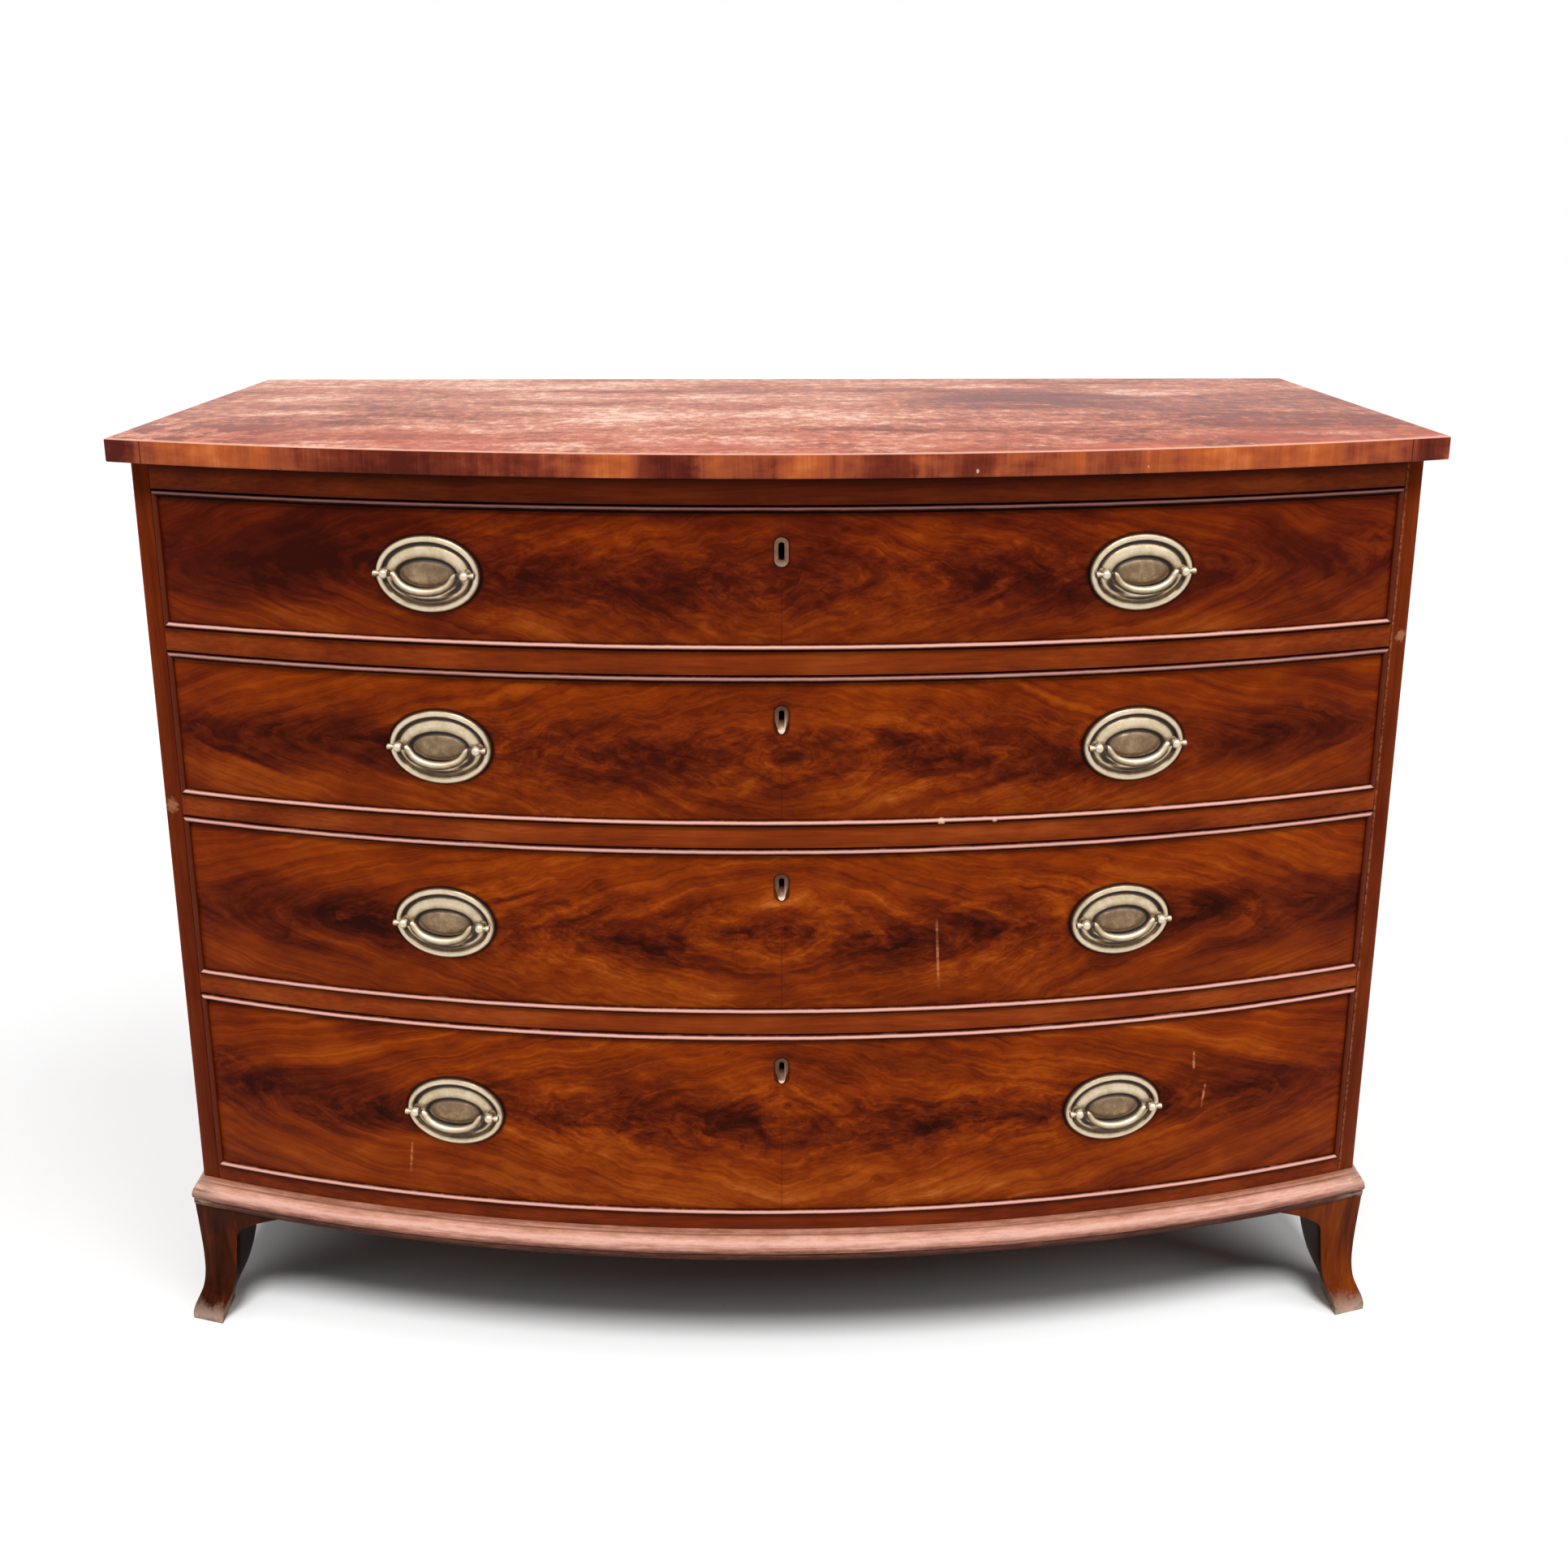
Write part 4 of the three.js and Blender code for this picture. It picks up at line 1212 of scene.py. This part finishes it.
def makeDish():
    rings = []
    for inset, up, grime in plate["profile"]:
        halfX, halfZ = [half - inset * mm for half in plate["half"]]
        rings.append(ovalRing(halfX, halfZ, up * mm, plate["sides"]))
    for share, up, grime in plate["boss"]:
        rings.append(ovalRing(halfX * share, halfZ * share, up * mm, plate["sides"]))
    dish = loftRings("plate", rings, [grime for place, up, grime in plate["profile"] + plate["boss"]])
    halfX, halfZ = plate["half"]
    nearest, farthest, cleaner, grooveGradient = plate["lowGroove"]
    restX, restZ, spread = plate["bailShadow"]
    added, restGradient, least = plate["bailShadowLevel"]
    for vert, level in zip(dish.data.vertices, dish.data.attributes["grime"].data):
        x, up, down = vert.co.x, -vert.co.y, -vert.co.z
        inset = (1 - math.hypot(x / halfX, down / halfZ)) * halfZ / mm
        if nearest < inset < farthest and down > 0:
            level.value *= 1 - (1 - cleaner) * min(down / halfZ * grooveGradient, 1)
        # Painted shadow of the hanging bail on the plate below it
        away = abs(math.hypot(x / restX, down / restZ) - 1) / spread
        if up > least and down > 0:
            level.value += added * max(1 - away, 0) * min(down / restX * restGradient, 1)
    return dish


def makePost(side):
    x, z = side * plate["postHalf"], plate["axisLift"]
    reach, knob, start = plate["axisReach"], plate["knob"], plate["knobStart"]
    rows = list(plate["post"])
    for step in range(1, plate["knobSteps"]):
        turn = math.pi * (start + (1 - start) * step / plate["knobSteps"])
        grime = plate["knobGrime"].get(step, 0.0)
        rows.append((knob * math.sin(turn), reach - knob * math.cos(turn), grime))
    rings = [ovalRing(radius, radius, up, plate["postSides"], (x, z)) for radius, up, grime in rows]
    post = loftRings("post", rings, [grime for radius, up, grime in rows])
    carve(post, newCylinder("pinBore", *plate["bore"], (x, -reach, z), (0, math.radians(90), 0)))
    return post


def makePlate():
    whole = joinPieces([makeDish(), makePost(-1), makePost(1)], "backplate")
    smooth(whole, 50)
    return whole


# The bail's middle line, from one pin's end along the shoulders and half an oval to the other's
def bailLine():
    half = [(-x, 0) for x in (*bail["pin"], plate["postHalf"])]
    half.extend((-x, -down) for x, down in bail["shoulder"])
    for step in range(1, bail["arcSteps"] + 1):
        turn = math.pi * (1 + step / bail["arcSteps"] / 2)
        half.append((bail["halfWidth"] * math.cos(turn), bail["drop"] * math.sin(turn)))
    return half + [(-x, z) for x, z in reversed(half[:-1])]


def makeBail():
    xs, zs = zip(*bailLine())
    radii = bail["radii"] + list(reversed(bail["radii"][:-1]))
    marks = list(range(len(xs)))
    turns = [2 * math.pi * k / bail["sides"] for k in range(bail["sides"])]
    deep = Vector((0, 1, 0))

    def spot(mark):
        return Vector((smoothRead(marks, xs, mark), 0, smoothRead(marks, zs, mark)))

    rings = []
    count = marks[-1] * bail["steps"]
    for step in range(count + 1):
        mark = step / count * marks[-1]
        low, high = max(mark - bail["nudge"], 0), min(mark + bail["nudge"], marks[-1])
        along = (spot(high) - spot(low)).normalized()
        aside = Vector((-along.z, 0, along.x))
        radius = max(smoothRead(marks, radii, mark), radii[0])
        rings.append([spot(mark) + radius * (math.cos(t) * aside + math.sin(t) * deep) for t in turns])
    piece = loftRings("bail", rings)
    upper, under, edge = bail["grime"]

    # Painted shade on the bail's underside, by how far it faces down, and on its links
    def grimeAndShadeAt(vert):
        linked = bail["link"][0] < abs(vert.co.x) < bail["link"][1]
        return under if linked else upper + (under - upper) * min(max(edge - vert.normal.z, 0), 1)

    setLevel(piece, "grime", grimeAndShadeAt)
    smooth(piece, 50)
    return piece


def copyPiece(piece, name):
    activate(piece)
    bpy.ops.object.duplicate(linked=False)
    made = bpy.context.object
    made.name = name
    return made


def makeHandles(finish):
    wholePlate, wholeBail = makePlate(), makeBail()
    hang = Matrix.Translation((0, -plate["axisReach"], plate["axisLift"]))
    for number, drawer in drawers.items():
        height = (drawer["floor"] + drawer["top"]) / 2 + drawer["lift"]
        for hand in hands:
            x = drawer[hand]
            turn = Matrix.Rotation(math.asin(x / bowRadius), 4, "Z")
            seat = Matrix.Translation((x, bowY(x, levels["gap"]), height)) @ turn
            rows = (("backplate", wholePlate, seat, f"drawer_{number}"),
                    ("bail", wholeBail, seat @ hang, f"drawer_{number}_bail_{hand}"))
            for kind, whole, place, body in rows:
                part = copyPiece(whole, f"{kind}{number}{hand.title()}")
                part.matrix_world = place
                settle(part)
                dress(part, finish, body, "brass", f"drawer_{number}_{kind}_{hand}")
    bpy.data.objects.remove(wholePlate)
    bpy.data.objects.remove(wholeBail)
    print("handles made")


# Locks: a brass-lined keyhole and the case behind it; the key's slot is raised on all but the top drawer
lock = {
    "half": 0.00575,
    "reach": 0.00575,
    "narrow": {1: 1.0, 2: 0.57, 3: 0.57, 4: 0.57},
    # The key's slot: half width, half height less the round ends, and lift
    "slot": {1: (0.0024, 0.0054, 0.0), 2: (0.0021, 0.0028, 0.0034), 3: (0.0021, 0.0028, 0.0034),
             4: (0.0021, 0.0028, 0.0034)},
    # The pale level all over, from rubbing and painted highlight, its rise towards the foot, and how high
    # it reaches
    "rubbed": {1: (0.36, 0.3, 0.005), 2: (0.12, 1.5, 0.0066), 3: (0.12, 1.4, 0.006), 4: (0.14, 1.2, 0.005)},
    "case": (0.062, 0.011, 0.044),
    "caseArris": 0.0008,
    "overlap": 0.004,
    "overrun": 0.01,
    "arris": 0.0003,
}


def makeLock(number, finish):
    near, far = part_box(f"drawer_{number}_lock")
    keyZ = drawers[number]["key"]
    wide, deep, high = lock["case"]
    caseY = far.y - deep
    body = newBox("lockCase", (-wide / 2, caseY, far.z - high), (wide / 2, far.y, far.z))
    soften(body, lock["caseArris"])
    size = (lock["half"], lock["reach"])
    sleeve = newSlot("sleeve", *size, keyZ, near.y, caseY + lock["overlap"], lock["narrow"][number])
    carve(body, sleeve, "UNION")
    slotHalf, slotReach, lift = lock["slot"][number]
    over = lock["overrun"]
    carve(body, newSlot("slot", slotHalf, slotReach, keyZ + lift, near.y - over, far.y + over))
    soften(body, lock["arris"], 2, 60)
    smooth(body, 40)
    lowest = keyZ - lock["half"] - lock["reach"]
    level, rise, reach = lock["rubbed"][number]

    # Paler towards the slot's foot: rubbing with painted highlight
    def rubbedAndHighlightAt(vert):
        return level + rise * (1 - min(max((vert.co.z - lowest) / reach, 0), 1))

    setLevel(body, "rubbed", rubbedAndHighlightAt)
    body.name = f"lock{number}"
    dress(body, finish, f"drawer_{number}", "lock_brass", f"drawer_{number}_lock")


# Light, floor and backdrop
studio = {
    "sky": 0.055,
    "skySeen": 1.0,
    "floorHalf": 14.0,
    "floorZ": -0.0002,
    "floorShade": 0.8,
    "floorSeen": 1.0,
    "sunPlace": (0, -2, 4),
    # Power, spread and turn in degrees
    "suns": [(2.4, 18, (30, 0, 3)), (1.1, 46, (42, 0, 60)), (0.6, 60, (34, 0, -58))],
}


def setStudio():
    world = bpy.data.worlds.new("studioWorld")
    scene.world = world
    world.use_nodes = True
    sky = Tree(world.node_tree)
    background = world.node_tree.nodes["Background"]
    sky.feed(background.inputs["Color"], (1, 1, 1))
    inputs = {"Value": sky.seenRays(), "To Min": studio["sky"], "To Max": studio["skySeen"]}
    sky.feed(background.inputs["Strength"], sky.node("MapRange", {}, inputs))
    deselect()
    bpy.ops.mesh.primitive_plane_add(size=2 * studio["floorHalf"], location=(0, 0, studio["floorZ"]))
    floor = bpy.context.object
    floor.name = "studioFloor"
    finish = Finish("studioFloor")
    shade = finish.mix(finish.seenRays(), (studio["floorShade"],) * 3, (studio["floorSeen"],) * 3)
    floor.data.materials.append(finish.surface(shade, 1.0, specular=0.0))
    for power, spread, turns in studio["suns"]:
        deselect()
        bpy.ops.object.light_add(type="SUN", location=studio["sunPlace"])
        sun = bpy.context.object
        sun.data.energy = power
        sun.data.angle = math.radians(spread)
        sun.rotation_euler = [math.radians(turn) for turn in turns]
    scene.view_settings.view_transform = "Standard"
    print("studio set")


setCamera()
setStudio()
makeTop()
makeRails()
makeSides()
beadColour = beadFinish()
brass = brassFinish()
keyholeBrass = keyholeFinish()
for number in drawers:
    makeFront(number)
    makeCockbead(number, beadColour)
    makeLock(number, keyholeBrass)
print("drawer fronts made")
makeHandles(brass)
makeBase()
makeFeet()

oak = {"along": liningFinish("oakSides", "y"), "across": liningFinish("oakBacks", "x")}
pine = liningFinish("pine", "x")
for name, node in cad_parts.items():
    finish = None
    if "side_" in name and name.startswith("drawer"):
        finish = oak["along"]
    elif name.endswith("_back"):
        finish = oak["across"]
    elif name.endswith("_bottom") or name == "back_panel":
        finish = pine
    if finish:
        node.data.materials.clear()
        node.data.materials.append(finish)
